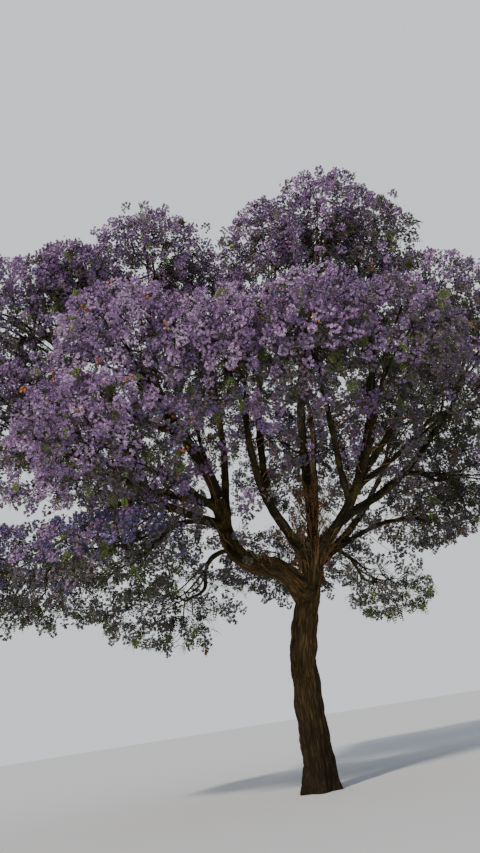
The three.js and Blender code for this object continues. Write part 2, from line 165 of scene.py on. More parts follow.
def square_to(directions: Array) -> tuple[Array, Array]:
    """Two directions square to each of many.

    Args:
        directions: Unit vectors, one a row.

    Returns:
        Two arrays of unit vectors, square to the directions and to each other.
    """
    upright = np.abs(directions[..., 2:3]) > 0.9
    helper = np.where(upright, [1.0, 0.0, 0.0], [0.0, 0.0, 1.0])
    first = unit(np.cross(directions, helper))
    return first, np.cross(directions, first)


class Line:
    """A smooth line through space, which can be read at any share of its length."""

    STEP = 1e-3

    def __init__(self, places: Array) -> None:
        """Measures the line.

        Args:
            places: Points along the line, close together.
        """
        steps = np.linalg.norm(np.diff(places, axis=0), axis=1)
        self.places = places
        self.run = np.concatenate([[0.0], np.cumsum(steps)])
        self.length = float(self.run[-1])

    @classmethod
    def bezier(cls, *corners: Array, samples: int = 400) -> "Line":
        """A line drawn by the corners of a Bezier curve.

        Args:
            corners: Three or four corners.
            samples: How many points are taken along it.

        Returns:
            The line.
        """
        share = np.linspace(0, 1, samples)[:, None]
        degree = len(corners) - 1
        weights = [math.comb(degree, i) * share**i * (1 - share) ** (degree - i) for i in range(degree + 1)]
        return cls(sum(weight * corner for weight, corner in zip(weights, corners)))

    @classmethod
    def through(cls, stops: tuple[Place, ...], samples: int = 80) -> "Line":
        """A smooth line through a few stops, with no loops where they lie close.

        Args:
            stops: The points that the line goes through.
            samples: How many points are taken between two stops.

        Returns:
            The line.
        """
        known = np.array(stops, float)
        padded = np.vstack([2 * known[0] - known[1], known, 2 * known[-1] - known[-2]])
        share = np.linspace(0, 1, samples, endpoint=False)[:, None]
        pieces = []
        for a, b, c, d in zip(padded, padded[1:], padded[2:], padded[3:]):
            before, here, after = (math.sqrt(np.linalg.norm(q - p)) for p, q in ((a, b), (b, c), (c, d)))
            start = here * ((b - a) / before - (c - a) / (before + here) + (c - b) / here)
            finish = here * ((c - b) / here - (d - b) / (here + after) + (d - c) / after)
            square = 3 * (c - b) - 2 * start - finish
            cube = 2 * (b - c) + start + finish
            pieces.append(b + start * share + square * share**2 + cube * share**3)
        return cls(np.vstack([*pieces, known[-1:]]))

    def at(self, share: Array | float) -> Array:
        """The places at shares of the line's length."""
        run = np.asarray(share, float) * self.length
        return np.stack([np.interp(run, self.run, self.places[:, i]) for i in range(3)], axis=-1)

    def heading(self, share: float) -> Array:
        """The unit direction of the line at a share of its length."""
        ends = self.at(np.clip([share - self.STEP, share + self.STEP], 0, 1))
        return unit(ends[1] - ends[0])

    def joined(self, other: "Line") -> "Line":
        """This line with another carried on from its end."""
        return Line(np.vstack([self.places, other.places[1:]]))

    def frames(self, count: int) -> tuple[Array, Array, Array]:
        """Even places along the line, each with two directions square to it, carried on without twist.

        Args:
            count: How many steps the line is cut into.

        Returns:
            The places, the first directions and the second directions.
        """
        places = self.at(np.linspace(0, 1, count + 1))
        headings = np.array([self.heading(share) for share in np.linspace(0, 1, count + 1)])
        least = int(np.argmin(np.abs(headings[0])))
        side = np.cross(headings[0], unit(np.cross(headings[0], np.eye(3)[least])))
        sides = []
        for heading in headings:
            side = unit(side - heading * np.dot(side, heading))
            sides.append(side)
        first = np.array(sides)
        return places, first, np.cross(headings, first)


@dataclass
class Limb:
    """One tapering limb of the tree.

    Attributes:
        name: Its node's name.
        line: Its middle line.
        root: Its radius at the root.
        tip: Its radius at the tip.
        steps: How many straight steps the plain solid has along it.
        taper: How the radius falls along it.
        flare: How much wider it is at the ground, fading with height.
    """

    FLARE_HEIGHT = 0.42
    RIDGES = 5
    RIDGE_DEPTH = 0.14

    name: str
    line: Line
    root: float
    tip: float
    steps: int
    taper: float = 0.8
    flare: float = 0.0
    spots: Array = field(init=False)
    girth: Array = field(init=False)

    def __post_init__(self) -> None:
        """Notes the spots and radii by which twigs keep clear of the limb."""
        shares = np.linspace(0, 1, 3 * self.steps + 1)
        self.spots = self.line.at(shares)
        self.girth = self.radius(shares, self.spots[:, 2], 0.0)

    def radius(self, share: Array, height: Array, angle: Array | float) -> Array:
        """The limb's radius, with its ridged root flare where it has one.

        Args:
            share: The share of the way along the limb.
            height: The height above the ground.
            angle: The angle around the limb.

        Returns:
            The radius.
        """
        bole = self.root + (self.tip - self.root) * share**self.taper
        if not self.flare:
            return bole
        fade = np.exp(-height / self.FLARE_HEIGHT)
        return (bole + self.flare * fade) * (1 + self.RIDGE_DEPTH * fade * np.cos(self.RIDGES * angle))


class Skeleton:
    """The trunk, the left limb and the boughs, laid out from their named sizes."""

    LIMB_STEP = 1.7
    FEWEST_STEPS = 4
    LEAD_SHARE = 0.22
    ENTRY_SHARE = 0.72
    BOUGH_TIP = 0.046
    THIN_BOUGH_SHARE = 0.75

    def __init__(self) -> None:
        """Lays out every limb."""
        self.limbs: dict[str, Limb] = {}
        self.add(Limb("trunk", Line.through(TRUNK_LINE), 0.305, 0.205, 12, taper=3, flare=0.125))
        self.add(Limb("left_limb", Line.through(LEFT_LIMB_LINE), 0.275, 0.165, 8))
        for row in CROWN:
            line = self.bough_line(row, self.limbs[row.parent])
            steps = max(self.FEWEST_STEPS, round(line.length / self.LIMB_STEP))
            tip = min(self.BOUGH_TIP, row.root * self.THIN_BOUGH_SHARE)
            self.add(Limb(f"bough_{row.mass}", line, row.root, tip, steps))

    def add(self, limb: Limb) -> None:
        """Keeps a limb under its name."""
        self.limbs[limb.name] = limb

    def bough_line(self, row: MassRow, parent: Limb) -> Line:
        """Where a bough starts, bends and ends: on its parent's line, and a little way into its own mass.

        Args:
            row: The bough's row in the crown.
            parent: The limb that it grows from.

        Returns:
            The bough's middle line.
        """
        centre, reach = np.array(row.centre), np.array(row.reach)
        heading = parent.line.heading(row.share)
        start = parent.line.at(row.share)
        if row.share == 1:
            start = start + heading * SEAT_GAP
        end = centre + unit((start - centre) / reach) * reach * self.ENTRY_SHARE
        middle = (start + end) / 2 + np.array(row.bend)
        if row.share < 1:
            return Line.bezier(start, middle, end)
        lead = start + heading * np.linalg.norm(end - start) * self.LEAD_SHARE
        return Line.bezier(start, lead, middle, end)


class SeededDraws:
    """A repeatable stream of numbers from 0 to 1."""

    FACTOR = 16807
    RANGE = 2147483647

    def __init__(self, seed: int) -> None:
        """Starts the stream."""
        self.state = seed

    def draw(self) -> float:
        """The next number."""
        self.state = self.state * self.FACTOR % self.RANGE
        return self.state / self.RANGE


@dataclass(frozen=True)
class SprayRule:
    """How sprays are tried on a spiral over a mass and joined to it by twigs.

    Attributes:
        tried: How many places on the spiral are tried.
        shells: The shares of the reach at which tips lie, dealt out in turn.
        length: A spray's length.
        width: Its width, for the test of its space.
        scatter: How far its direction strays from straight outwards.
        droop: How far its direction leans down.
        branch: The share of its length at which other twigs join it.
        spacing: The least distance between two branchings.
        crowding: The cost of each twig that a fork already has.
        path_cost: The cost of each metre back to the stem.
        rows: How many rows of points test its space.
        blends: Whether neighbouring masses may grow together in the dips between them.
    """

    tried: int
    shells: tuple[float, ...]
    length: float
    width: float
    scatter: float
    droop: float
    branch: float
    spacing: float
    crowding: float
    path_cost: float = 0.3
    rows: int = 8
    blends: bool = False


BRANCHES = SprayRule(20, (0.66, 0.985, 0.985, 0.985), 0.8, 0.62, 0.45, 0.22, 0.2, 0.33, 0.23)
PANICLES = SprayRule(
    430, (1.0, 0.94, 1.0, 0.84, 0.98, 0.7, 0.96, 0.52), 0.26, 0.12, 1.1, 0.25, 0.1, 0.13, 0.05,
    rows=2, blends=True,
)


class Dress(Enum):
    """What hangs at the end of a twig."""

    BLOOM = "bloom"
    LEAVES = "leaves"
    BARE = "bare"
    NOTHING = "nothing"


@dataclass(eq=False)
class Spray:
    """A place for a cluster at the end of a twig.

    Attributes:
        base: Its foot.
        tip: Its tip.
        axis: Its direction.
        roll: How far it is turned about its direction.
        outward: The way out of its mass.
        share: How near it lies to the mass's surface.
        bloom: How far out in the sun it is: 1 on the crown's outside, 0 on its inside and underside.
    """

    base: Array
    tip: Array
    axis: Array
    roll: float
    outward: Array
    share: float
    bloom: float = 0.5


@dataclass(eq=False)
class Fork:
    """A place where twigs part.

    Attributes:
        place: Where it is.
        parent: The fork that its own twig grows from.
        path: The length of the way back to the stem.
        load: How many clusters hang on it.
        twigs: How many twigs leave it.
        spray: The place of the cluster that it carries.
        dress: What hangs there.
    """

    place: Array
    parent: "Fork | None" = None
    path: float = 0.0
    load: int = 0
    twigs: int = 0
    spray: Spray | None = None
    dress: Dress = Dress.NOTHING

    def carry(self) -> None:
        """Adds one cluster to the load of this fork and of each one below it."""
        fork = self
        while fork is not None:
            fork.load += 1
            fork = fork.parent


@dataclass(frozen=True)
class Filling:
    """A soft region in which the dips between masses are filled.

    Attributes:
        centre: Its middle.
        size: How far it reaches each way.
        amount: How strongly it fills.
    """

    centre: Place
    size: Place
    amount: float

    def strength(self, points: Array) -> Array:
        """How strongly the dips are filled at some points."""
        away = (points - np.array(self.centre)) / np.array(self.size)
        return self.amount * np.exp(-(away**2).sum(-1))


FILLINGS = (
    Filling((0.8, 4.6, 9.0), (7.0, 2.6, 4.0), 0.65),
    Filling((1.2, -2.6, 11.2), (5.5, 1.8, 1.7), 0.85),
    Filling((1.0, 0.6, 11.8), (5.0, 2.4, 1.6), 0.45),
    Filling((-5.3, -1.6, 6.8), (2.2, 2.2, 1.4), 0.8),
    Filling((-4.4, -2.6, 6.1), (1.7, 1.5, 0.9), 0.8),
)


class Crown:
    """The spaces of all the masses, and where the crown ends between them."""

    MARGIN = 0.05
    RIPPLES = 14
    RIPPLE = 0.2
    RIPPLE_LENGTHS = (0.8, 2.4)
    HOLE_SCALE = 2.1
    BOX_MARGIN = 0.1
    MIDDLE = np.array([0.5, 0.6, 8.4])
    HALF = np.array([7.4, 5.2, 6.2])
    LOW = 6.4
    LOW_DEPTH = 2.2
    HIGH = 9.0
    HIGH_DEPTH = 1.5
    HIGH_BLOOM = 0.85
    MIDWAY_BLOOM = 0.5
    FACING_WEIGHT = 0.4
    FAR_WEIGHT = 0.8
    FAR_FROM = 0.75
    UPWARD_WEIGHT = 0.25
    LOW_WEIGHT = 0.15
    SEED = 5

    def __init__(self, rows: tuple[MassRow, ...]) -> None:
        """Notes the masses' places.

        Args:
            rows: The rows of the crown.
        """
        self.centres = np.array([row.centre for row in rows])
        self.reaches = np.array([row.reach for row in rows])
        random = np.random.default_rng(self.SEED)
        waves = 2 * math.pi / random.uniform(*self.RIPPLE_LENGTHS, self.RIPPLES)
        self.waves = unit(random.normal(size=(self.RIPPLES, 3))) * waves[:, None]
        self.phases = random.random(self.RIPPLES) * 2 * math.pi
        low, high = (np.array(corner) for corner in CAD_BOX)
        self.low, self.high = low - self.BOX_MARGIN, high + self.BOX_MARGIN

    def shares(self, points: Array) -> Array:
        """How far points are from the middle of every mass, as shares of its reach."""
        return np.linalg.norm((points[..., None, :] - self.centres) / self.reaches, axis=-1)

    def ripple(self, points: Array) -> Array:
        """A smooth number around zero that makes the crown's surface uneven."""
        return np.cos(points @ self.waves.T + self.phases).mean(-1) * math.sqrt(self.RIPPLES)

    def bloom(self, tip: Array, outward: Array) -> float:
        """How far out in the sun a place is, from 0 inside or under the crown to 1 on its outside.

        Args:
            tip: The place.
            outward: The way out of its mass.

        Returns:
            The share.
        """
        from_middle = (tip - self.MIDDLE) / self.HALF
        far = float(np.linalg.norm(from_middle))
        facing = float(outward @ unit(from_middle))
        low = float(np.clip((self.LOW - tip[2]) / self.LOW_DEPTH, 0, 1))
        high = float(np.clip((tip[2] - self.HIGH) / self.HIGH_DEPTH, 0, 1))
        out = self.MIDWAY_BLOOM + self.FACING_WEIGHT * facing + self.FAR_WEIGHT * (far - self.FAR_FROM)
        out = out + self.UPWARD_WEIGHT * (outward[2] - low) - self.LOW_WEIGHT * low
        return float(np.clip(max(out, self.HIGH_BLOOM * high), 0, 1))

    def inside(self, points: Array, index: int, blends: bool) -> Array:
        """Which points lie in the space of one mass.

        Args:
            points: The points.
            index: The mass's number.
            blends: Whether its space grows together with its neighbours' in the dips between them.

        Returns:
            True for each point inside.
        """
        shares = self.shares(points)
        own = shares[..., index].copy()
        shares[..., index] = np.inf
        mine = shares.min(-1) > own + self.MARGIN
        if not blends:
            return mine & (own <= 1)
        shares[..., index] = own
        fullness = np.exp(1 - shares**2).sum(-1)
        boxed = ((points > self.low) & (points < self.high)).all(-1)
        filled = sum(filling.strength(points) for filling in FILLINGS)
        return mine & boxed & (fullness > 1 + self.RIPPLE * self.ripple(points) - filled)


class Mass:
    """One mass of blossom, grown in its own space at the end of its bough."""

    HUB_SHARE = 0.55
    SEED_STEP = 7919
    LIMB_CLEARANCE = 0.045
    NEAR_SHARE = 1.6
    TEST_STEP = 0.12
    FORKS_TRIED = 5
    CHAIN_SHARES = (0.45, 0.7)
    STEM_LEAD = 0.5
    STEM_OVERRUN = 0.035
    RAGGED = {
        "right_skirt": 0.85, "left_skirt": 0.5, "back_low": 0.5, "right_back": 0.45, "left_low": 0.3,
        "far_left_low": 0.25, "back_low_left": 0.35, "right_low": 0.35, "left_top": -0.25,
    }
    SIDES = (-1, -0.5, 0, 0.5, 1)
    SHELL_TESTS = np.arange(0.44, 1.9, 0.04)
    TOP_CAP = 1.1
    UPWARD = 0.15
    MORE_TRIES = 1.35
    MORE_BEHIND = 2
    MORE_LEFT_OF = -4
    BLOOM_CLOSES = 0.9
    BLOOM_MIDDLE = 0.7
    GAP_BELOW = 0.75
    NOTHING_SHARE = 0.8
    LEAFY_FROM = 0.58
    BLOOM_OVER_LEAVES = 0.38

    def __init__(self, index: int, row: MassRow, skeleton: Skeleton, crown: Crown) -> None:
        """Notes the mass's space and the limbs near it.

        Args:
            index: The row's place in the crown.
            row: The row itself.
            skeleton: The tree's limbs.
            crown: The spaces of all the masses.
        """
        self.index, self.row, self.crown = index, row, crown
        self.centre, self.reach = np.array(row.centre), np.array(row.reach)
        self.bough = skeleton.limbs[f"bough_{row.mass}"]
        tip = self.bough.line.at(1)
        self.hub = tip + (self.centre - tip) * self.HUB_SHARE
        shares = {name: crown.shares(limb.spots)[:, index] for name, limb in skeleton.limbs.items()}
        near = [skeleton.limbs[name] for name, share in shares.items() if (share < self.NEAR_SHARE).any()]
        self.near_from = np.vstack([limb.spots[:-1] for limb in near])
        self.near_to = np.vstack([limb.spots[1:] for limb in near])
        self.near_girth = np.concatenate([np.maximum(limb.girth[:-1], limb.girth[1:]) for limb in near])
        self.draws = SeededDraws(row.seed + self.SEED_STEP * index)
        self.forks: list[Fork] = []
        self.branches: list[Fork] = []

    def stem(self) -> Line:
        """The curve that carries the bough on to the hub of its mass.

        Returns:
            The curve.
        """
        heading = self.bough.line.heading(1)
        foot = self.bough.line.at(1) + heading * SEAT_GAP
        knee = foot + heading * np.linalg.norm(foot - self.hub) * self.STEM_LEAD
        return Line.bezier(foot, knee, self.hub + unit(self.hub - knee) * self.STEM_OVERRUN, samples=60)

    def free(self, points: Array, blends: bool) -> Array:
        """Which points lie in the mass's own space and clear of every limb.

        Args:
            points: The points, one a row.
            blends: Whether the space grows together with its neighbours'.

        Returns:
            True for each free point.
        """
        good = self.crown.inside(points, self.index, blends)
        chosen = points[good]
        run = self.near_to - self.near_from
        away = chosen[:, None] - self.near_from
        along = np.clip((away * run).sum(-1) / (run**2).sum(-1), 0, 1)
        distance = np.linalg.norm(away - along[..., None] * run, axis=-1)
        good[good] = (distance > self.near_girth + self.LIMB_CLEARANCE).all(-1)
        return good

    def edge(self, outward: Array) -> float:
        """The share of the reach at which the crown ends in one direction.

        Args:
            outward: The direction.

        Returns:
            The share.
        """
        points = outward * self.reach * self.SHELL_TESTS[:, None] + self.centre
        good = self.crown.inside(points, self.index, blends=True)
        if outward[2] > self.UPWARD:
            good &= self.SHELL_TESTS < self.TOP_CAP
        last = len(good) if good.all() else int(np.argmin(good))
        return float(self.SHELL_TESTS[last - 1]) if last else 0.0

    def try_spray(self, rule: SprayRule, step: int) -> Spray:
        """The spray tried at one step of the spiral.

        Args:
            rule: The rule that is followed.
            step: Which step of the spiral it is.

        Returns:
            The spray.
        """
        height = 1 - 2 * (step + 0.5) / rule.tried
        angle = step * GOLDEN_TURN + self.index
        ring = math.sqrt(1 - height * height)
        outward = np.array([ring * math.cos(angle), ring * math.sin(angle), height])
        shell = rule.shells[step % len(rule.shells)]
        share = shell * self.edge(outward) if rule.blends else shell
        tip = outward * self.reach * share + self.centre
        stray = np.array([self.draws.draw() - 0.5 for _ in range(3)]) * rule.scatter
        axis = unit(outward + stray - UP * rule.droop)
        return Spray(tip - axis * rule.length, tip, axis, self.draws.draw() * math.pi, outward, shell)

    def outline(self, rule: SprayRule, spray: Spray) -> Array:
        """Points over a spray's outline, for the test of its space.

        Args:
            rule: The rule that the spray follows.
            spray: The spray.

        Returns:
            The points, one a row.
        """
        up = Vector((0, 1, 0))
        turn = up.rotation_difference(Vector(spray.axis)) @ Matrix.Rotation(spray.roll, 3, up).to_quaternion()
        wide = np.array(turn @ Vector((rule.width / 2, 0, 0)))
        share = np.linspace(0, 1, rule.rows + 1)[:, None, None]
        spread = 1 - np.abs(2 * share - 1)
        middle = spray.base + (spray.tip - spray.base) * share
        return (middle + wide * spread * np.array(self.SIDES)[None, :, None]).reshape(-1, 3)

    def best_fork(self, spot: Array, rule: SprayRule) -> Fork | None:
        """The fork that gives a spot the shortest free way to the stem without crowding.

        Args:
            spot: Where the new fork lies.
            rule: The rule that is followed.

        Returns:
            The fork, or None where no way is free.
        """
        places = np.array([fork.place for fork in self.forks])
        far = np.linalg.norm(places - spot, axis=1)
        burden = [fork.path * rule.path_cost + fork.twigs * rule.crowding for fork in self.forks]
        cost = far + np.array(burden)
        for i in np.argsort(cost, kind="stable")[: self.FORKS_TRIED]:
            count = max(2, math.ceil(far[i] / self.TEST_STEP))
            way = places[i] + (spot - places[i]) * np.linspace(0, 1, count + 1)[1:, None]
            if self.free(way, rule.blends).all():
                return self.forks[i]
        return None

    def grow(self, rule: SprayRule) -> list[Fork]:
        """The branching rule: each free spray, nearest first, joins its best fork.

        Args:
            rule: The rule that is followed.

        Returns:
            The forks that were added.
        """
        tried = [self.try_spray(rule, step) for step in range(rule.tried)]
        outlines = np.array([self.outline(rule, spray) for spray in tried])
        free = self.free(outlines.reshape(-1, 3), rule.blends).reshape(len(tried), -1).all(1)
        spots = [spray.base + (spray.tip - spray.base) * rule.branch for spray in tried]
        order = np.argsort([np.linalg.norm(spot - self.hub) for spot in spots], kind="stable")
        added: list[Fork] = []
        for i in order[free[order]]:
            spot, spray = spots[i], tried[i]
            if added and min(np.linalg.norm(fork.place - spot) for fork in added) < rule.spacing:
                continue
            parent = self.best_fork(spot, rule)
            if parent is None:
                continue
            parent.twigs += 1
            fork = Fork(spot, parent, parent.path + float(np.linalg.norm(parent.place - spot)), spray=spray)
            self.forks.append(fork)
            added.append(fork)
        return added

    def branch_out(self) -> None:
        """Grows the branches of the plain solid and then the panicles' finer twigs on them."""
        self.forks = [Fork(self.hub)]
        self.branches = self.grow(BRANCHES)
        for fork in self.branches:
            self.lengthen(fork)
        unseen = self.centre[1] > self.MORE_BEHIND or self.centre[0] < self.MORE_LEFT_OF
        more = self.MORE_TRIES if unseen else 1.0
        for fork in self.grow(replace(PANICLES, tried=round(PANICLES.tried * more))):
            fork.spray.bloom = self.crown.bloom(fork.spray.tip, fork.spray.outward)
            fork.dress = self.choose_dress(fork.spray)
            if fork.dress is not Dress.NOTHING:
                fork.carry()

    def choose_dress(self, spray: Spray) -> Dress:
        """What a twig bears: flowers outside, more leaves inside and below, and gaps in between.

        Args:
            spray: The place at the twig's end.

        Returns:
            What hangs there.
        """
        draw = self.draws.draw()
        gap = float(self.crown.ripple(spray.tip * self.crown.HOLE_SCALE))
        gap = gap + self.BLOOM_CLOSES * (spray.bloom - self.BLOOM_MIDDLE)
        if gap < self.RAGGED.get(self.row.mass, 0.0) - self.GAP_BELOW:
            return Dress.BARE if draw > self.NOTHING_SHARE else Dress.NOTHING
        if draw > self.LEAFY_FROM + self.BLOOM_OVER_LEAVES * spray.bloom:
            return Dress.LEAVES
        return Dress.BLOOM

    def lengthen(self, fork: Fork) -> None:
        """Carries a branch on along its spray, with forks for finer twigs, and empties the spray.

        Args:
            fork: The branch's fork.
        """
        spray, fork.spray = fork.spray, None
        below = fork
        for share in self.CHAIN_SHARES:
            place = spray.base + (spray.tip - spray.base) * share
            path = below.path + float(np.linalg.norm(place - below.place))
            below = Fork(place, below, path)
            self.forks.append(below)


def mesh_piece(name: str, vertices: Array, faces: Array, finish: bpy.types.Material) -> bpy.types.Object:
    """A piece made as one joined mesh from arrays.

    Args:
        name: The piece's name.
        vertices: Its vertices, one a row.
        faces: Its faces, one a row, all with the same number of corners.
        finish: Its material.

    Returns:
        The piece, linked to the scene.
    """
    mesh = bpy.data.meshes.new(name)
    corners = faces.shape[1]
    mesh.vertices.add(len(vertices))
    mesh.vertices.foreach_set("co", vertices.astype(np.float32).ravel())
    mesh.loops.add(faces.size)
    mesh.loops.foreach_set("vertex_index", faces.astype(np.int32).ravel())
    mesh.polygons.add(len(faces))
    mesh.polygons.foreach_set("loop_start", np.arange(0, faces.size, corners, dtype=np.int32))
    mesh.polygons.foreach_set("loop_total", np.full(len(faces), corners, dtype=np.int32))
    mesh.update(calc_edges=True)
    mesh.materials.append(finish)
    return linked(name, mesh)


def linked(name: str, mesh: bpy.types.Mesh) -> bpy.types.Object:
    """A new object for a mesh, linked to the scene.

    Args:
        name: The object's name.
        mesh: The mesh.

    Returns:
        The object.
    """
    piece = bpy.data.objects.new(name, mesh)
    bpy.context.scene.collection.objects.link(piece)
    return piece


def seat(piece: bpy.types.Object, nodes: tuple[str, ...] = ()) -> None:
    """Makes a piece part of the tree.

    Args:
        piece: The piece.
        nodes: The plain nodes that it stands for.
    """
    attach(piece, BODY)
    if nodes:
        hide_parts(*nodes)
    LOG.info("%s: %d triangles", piece.name, sum(len(face.vertices) - 2 for face in piece.data.polygons))


@dataclass
class TubeBundle:
    """Many slightly bent, tapering twigs that are made as one mesh.

    Attributes:
        steps: How many straight steps each twig has.
        sides: How many sides it has.
        stray: How far its middle strays, as a share of its length.
        rows: The twigs: start, end, radius at the start and radius at the end.
    """

    steps: int
    sides: int
    stray: float
    rows: list[tuple[Array, Array, float, float]] = field(default_factory=list)

    def add(self, start: Array, end: Array, thick: float, thin: float) -> None:
        """Notes one twig."""
        self.rows.append((start, end, thick, thin))

    def arrays(self, random: np.random.Generator) -> tuple[Array, Array]:
        """The twigs' mesh.

        Args:
            random: The stream of random numbers.

        Returns:
            The vertices and the four-cornered faces.
        """
        starts, ends = (np.array([row[i] for row in self.rows]) for i in (0, 1))
        thick, thin = (np.array([row[i] for row in self.rows])[:, None] for i in (2, 3))
        run = ends - starts
        length = np.linalg.norm(run, axis=1, keepdims=True)
        stray = random.normal(0, 0.5, run.shape) * length * self.stray
        share = np.linspace(0, 1, self.steps + 1)[None, :, None]
        middle = starts[:, None] + run[:, None] * share + stray[:, None] * 4 * share * (1 - share)
        first, second = square_to(unit(run))
        angle = np.arange(self.sides) * 2 * math.pi / self.sides
        ring = np.cos(angle)[:, None] * first[:, None] + np.sin(angle)[:, None] * second[:, None]
        girth = thick + (thin - thick) * share[0, :, 0]
        vertices = middle[:, :, None] + ring[:, None] * girth[:, :, None, None]
        i, k = np.meshgrid(np.arange(self.steps), np.arange(self.sides), indexing="ij")
        after = (k + 1) % self.sides
        here, above = i * self.sides, (i + 1) * self.sides
        quads = np.stack([here + k, here + after, above + after, above + k], axis=-1).reshape(1, -1, 4)
        firsts = np.arange(len(starts))[:, None, None] * self.sides * (self.steps + 1)
        return vertices.reshape(-1, 3), (quads + firsts).reshape(-1, 4)


def linear(red: int, green: int, blue: int) -> Colour:
    """A display colour of 0 to 255 as the linear one that a shader takes."""
    shares = (channel / 255 for channel in (red, green, blue))
    return tuple(((share + 0.055) / 1.055) ** 2.4 if share > 0.04045 else share / 12.92 for share in shares)


class NodeSheet:
    """Places and links the nodes of one shader or node group."""

    def __init__(self, tree: bpy.types.NodeTree) -> None:
        """Keeps the node tree."""
        self.tree = tree

    def add(self, kind: str, feeds: dict[str | int, object], **settings: object) -> bpy.types.Node:
        """Adds a node.

        Args:
            kind: The node's type.
            feeds: What each input gets: a value or another node's output.
            **settings: The node's own settings.

        Returns:
            The node.
        """
        node = self.tree.nodes.new(kind)
        for name, value in settings.items():
            setattr(node, name, value)
        for socket, value in feeds.items():
            self.feed(node.inputs[socket], value)
        return node

    def feed(self, socket: bpy.types.NodeSocket, value: object) -> None:
        """Gives an input a value or a link.

        Args:
            socket: The input.
            value: The value, or the output that is linked to it.
        """
        if isinstance(value, bpy.types.NodeSocket):
            self.tree.links.new(value, socket)
        else:
            socket.default_value = value

    def ramp(self, value: bpy.types.NodeSocket, low: float, high: float) -> bpy.types.NodeSocket:
        """A smooth step of a value from 0 at low to 1 at high."""
        feeds = {"Value": value, "From Min": low, "From Max": high}
        return self.add("ShaderNodeMapRange", feeds, interpolation_type="SMOOTHSTEP").outputs["Result"]

    def mixed(self, share: object, first: object, second: object, **settings: object) -> bpy.types.NodeSocket:
        """A colour mixed from two."""
        node = self.add("ShaderNodeMix", {0: share, 6: first, 7: second}, data_type="RGBA", **settings)
        return node.outputs[2]

    def between(self, value: bpy.types.NodeSocket, low: float, high: float) -> bpy.types.NodeSocket:
        """A value of 0 to 1 spread from low to high."""
        node = self.add("ShaderNodeMapRange", {"Value": value, "To Min": low, "To Max": high})
        return node.outputs["Result"]

    def maths(self, operation: str, first: object, second: object) -> bpy.types.NodeSocket:
        """A sum worked out on two values."""
        return self.add("ShaderNodeMath", {0: first, 1: second}, operation=operation).outputs[0]

    def scaled(self, place: bpy.types.NodeSocket, size: object) -> bpy.types.NodeSocket:
        """A place divided by a size."""
        node = self.add("ShaderNodeVectorMath", {0: place, 1: size}, operation="DIVIDE")
        return node.outputs["Vector"]

    def noise(self, place: object, detail: float, roughness: float = 0.55) -> bpy.types.NodeSocket:
        """A noise value at a scaled place."""
        feeds = {"Vector": place, "Scale": 1.0, "Detail": detail, "Roughness": roughness}
        return self.add("ShaderNodeTexNoise", feeds).outputs["Fac"]

    def effect(self, group: bpy.types.NodeTree, feeds: dict[str | int, object]) -> object:
        """Places a shared effect and gives its outputs."""
        return self.add("ShaderNodeGroup", feeds, node_tree=group).outputs

    def drifting(
        self, group: bpy.types.NodeTree, place: object, size: Place, first: Colour, second: Colour
    ) -> bpy.types.NodeSocket:
        """A colour that drifts between two over the surface.

        Args:
            group: The effect that drifts.
            place: The place on the surface.
            size: How far apart the changes lie along each axis.
            first: The one colour.
            second: The other colour.

        Returns:
            The colour.
        """
        feeds = {"Place": place, "Size": size, "First": (*first, 1), "Second": (*second, 1)}
        return self.effect(group, feeds)["Colour"]


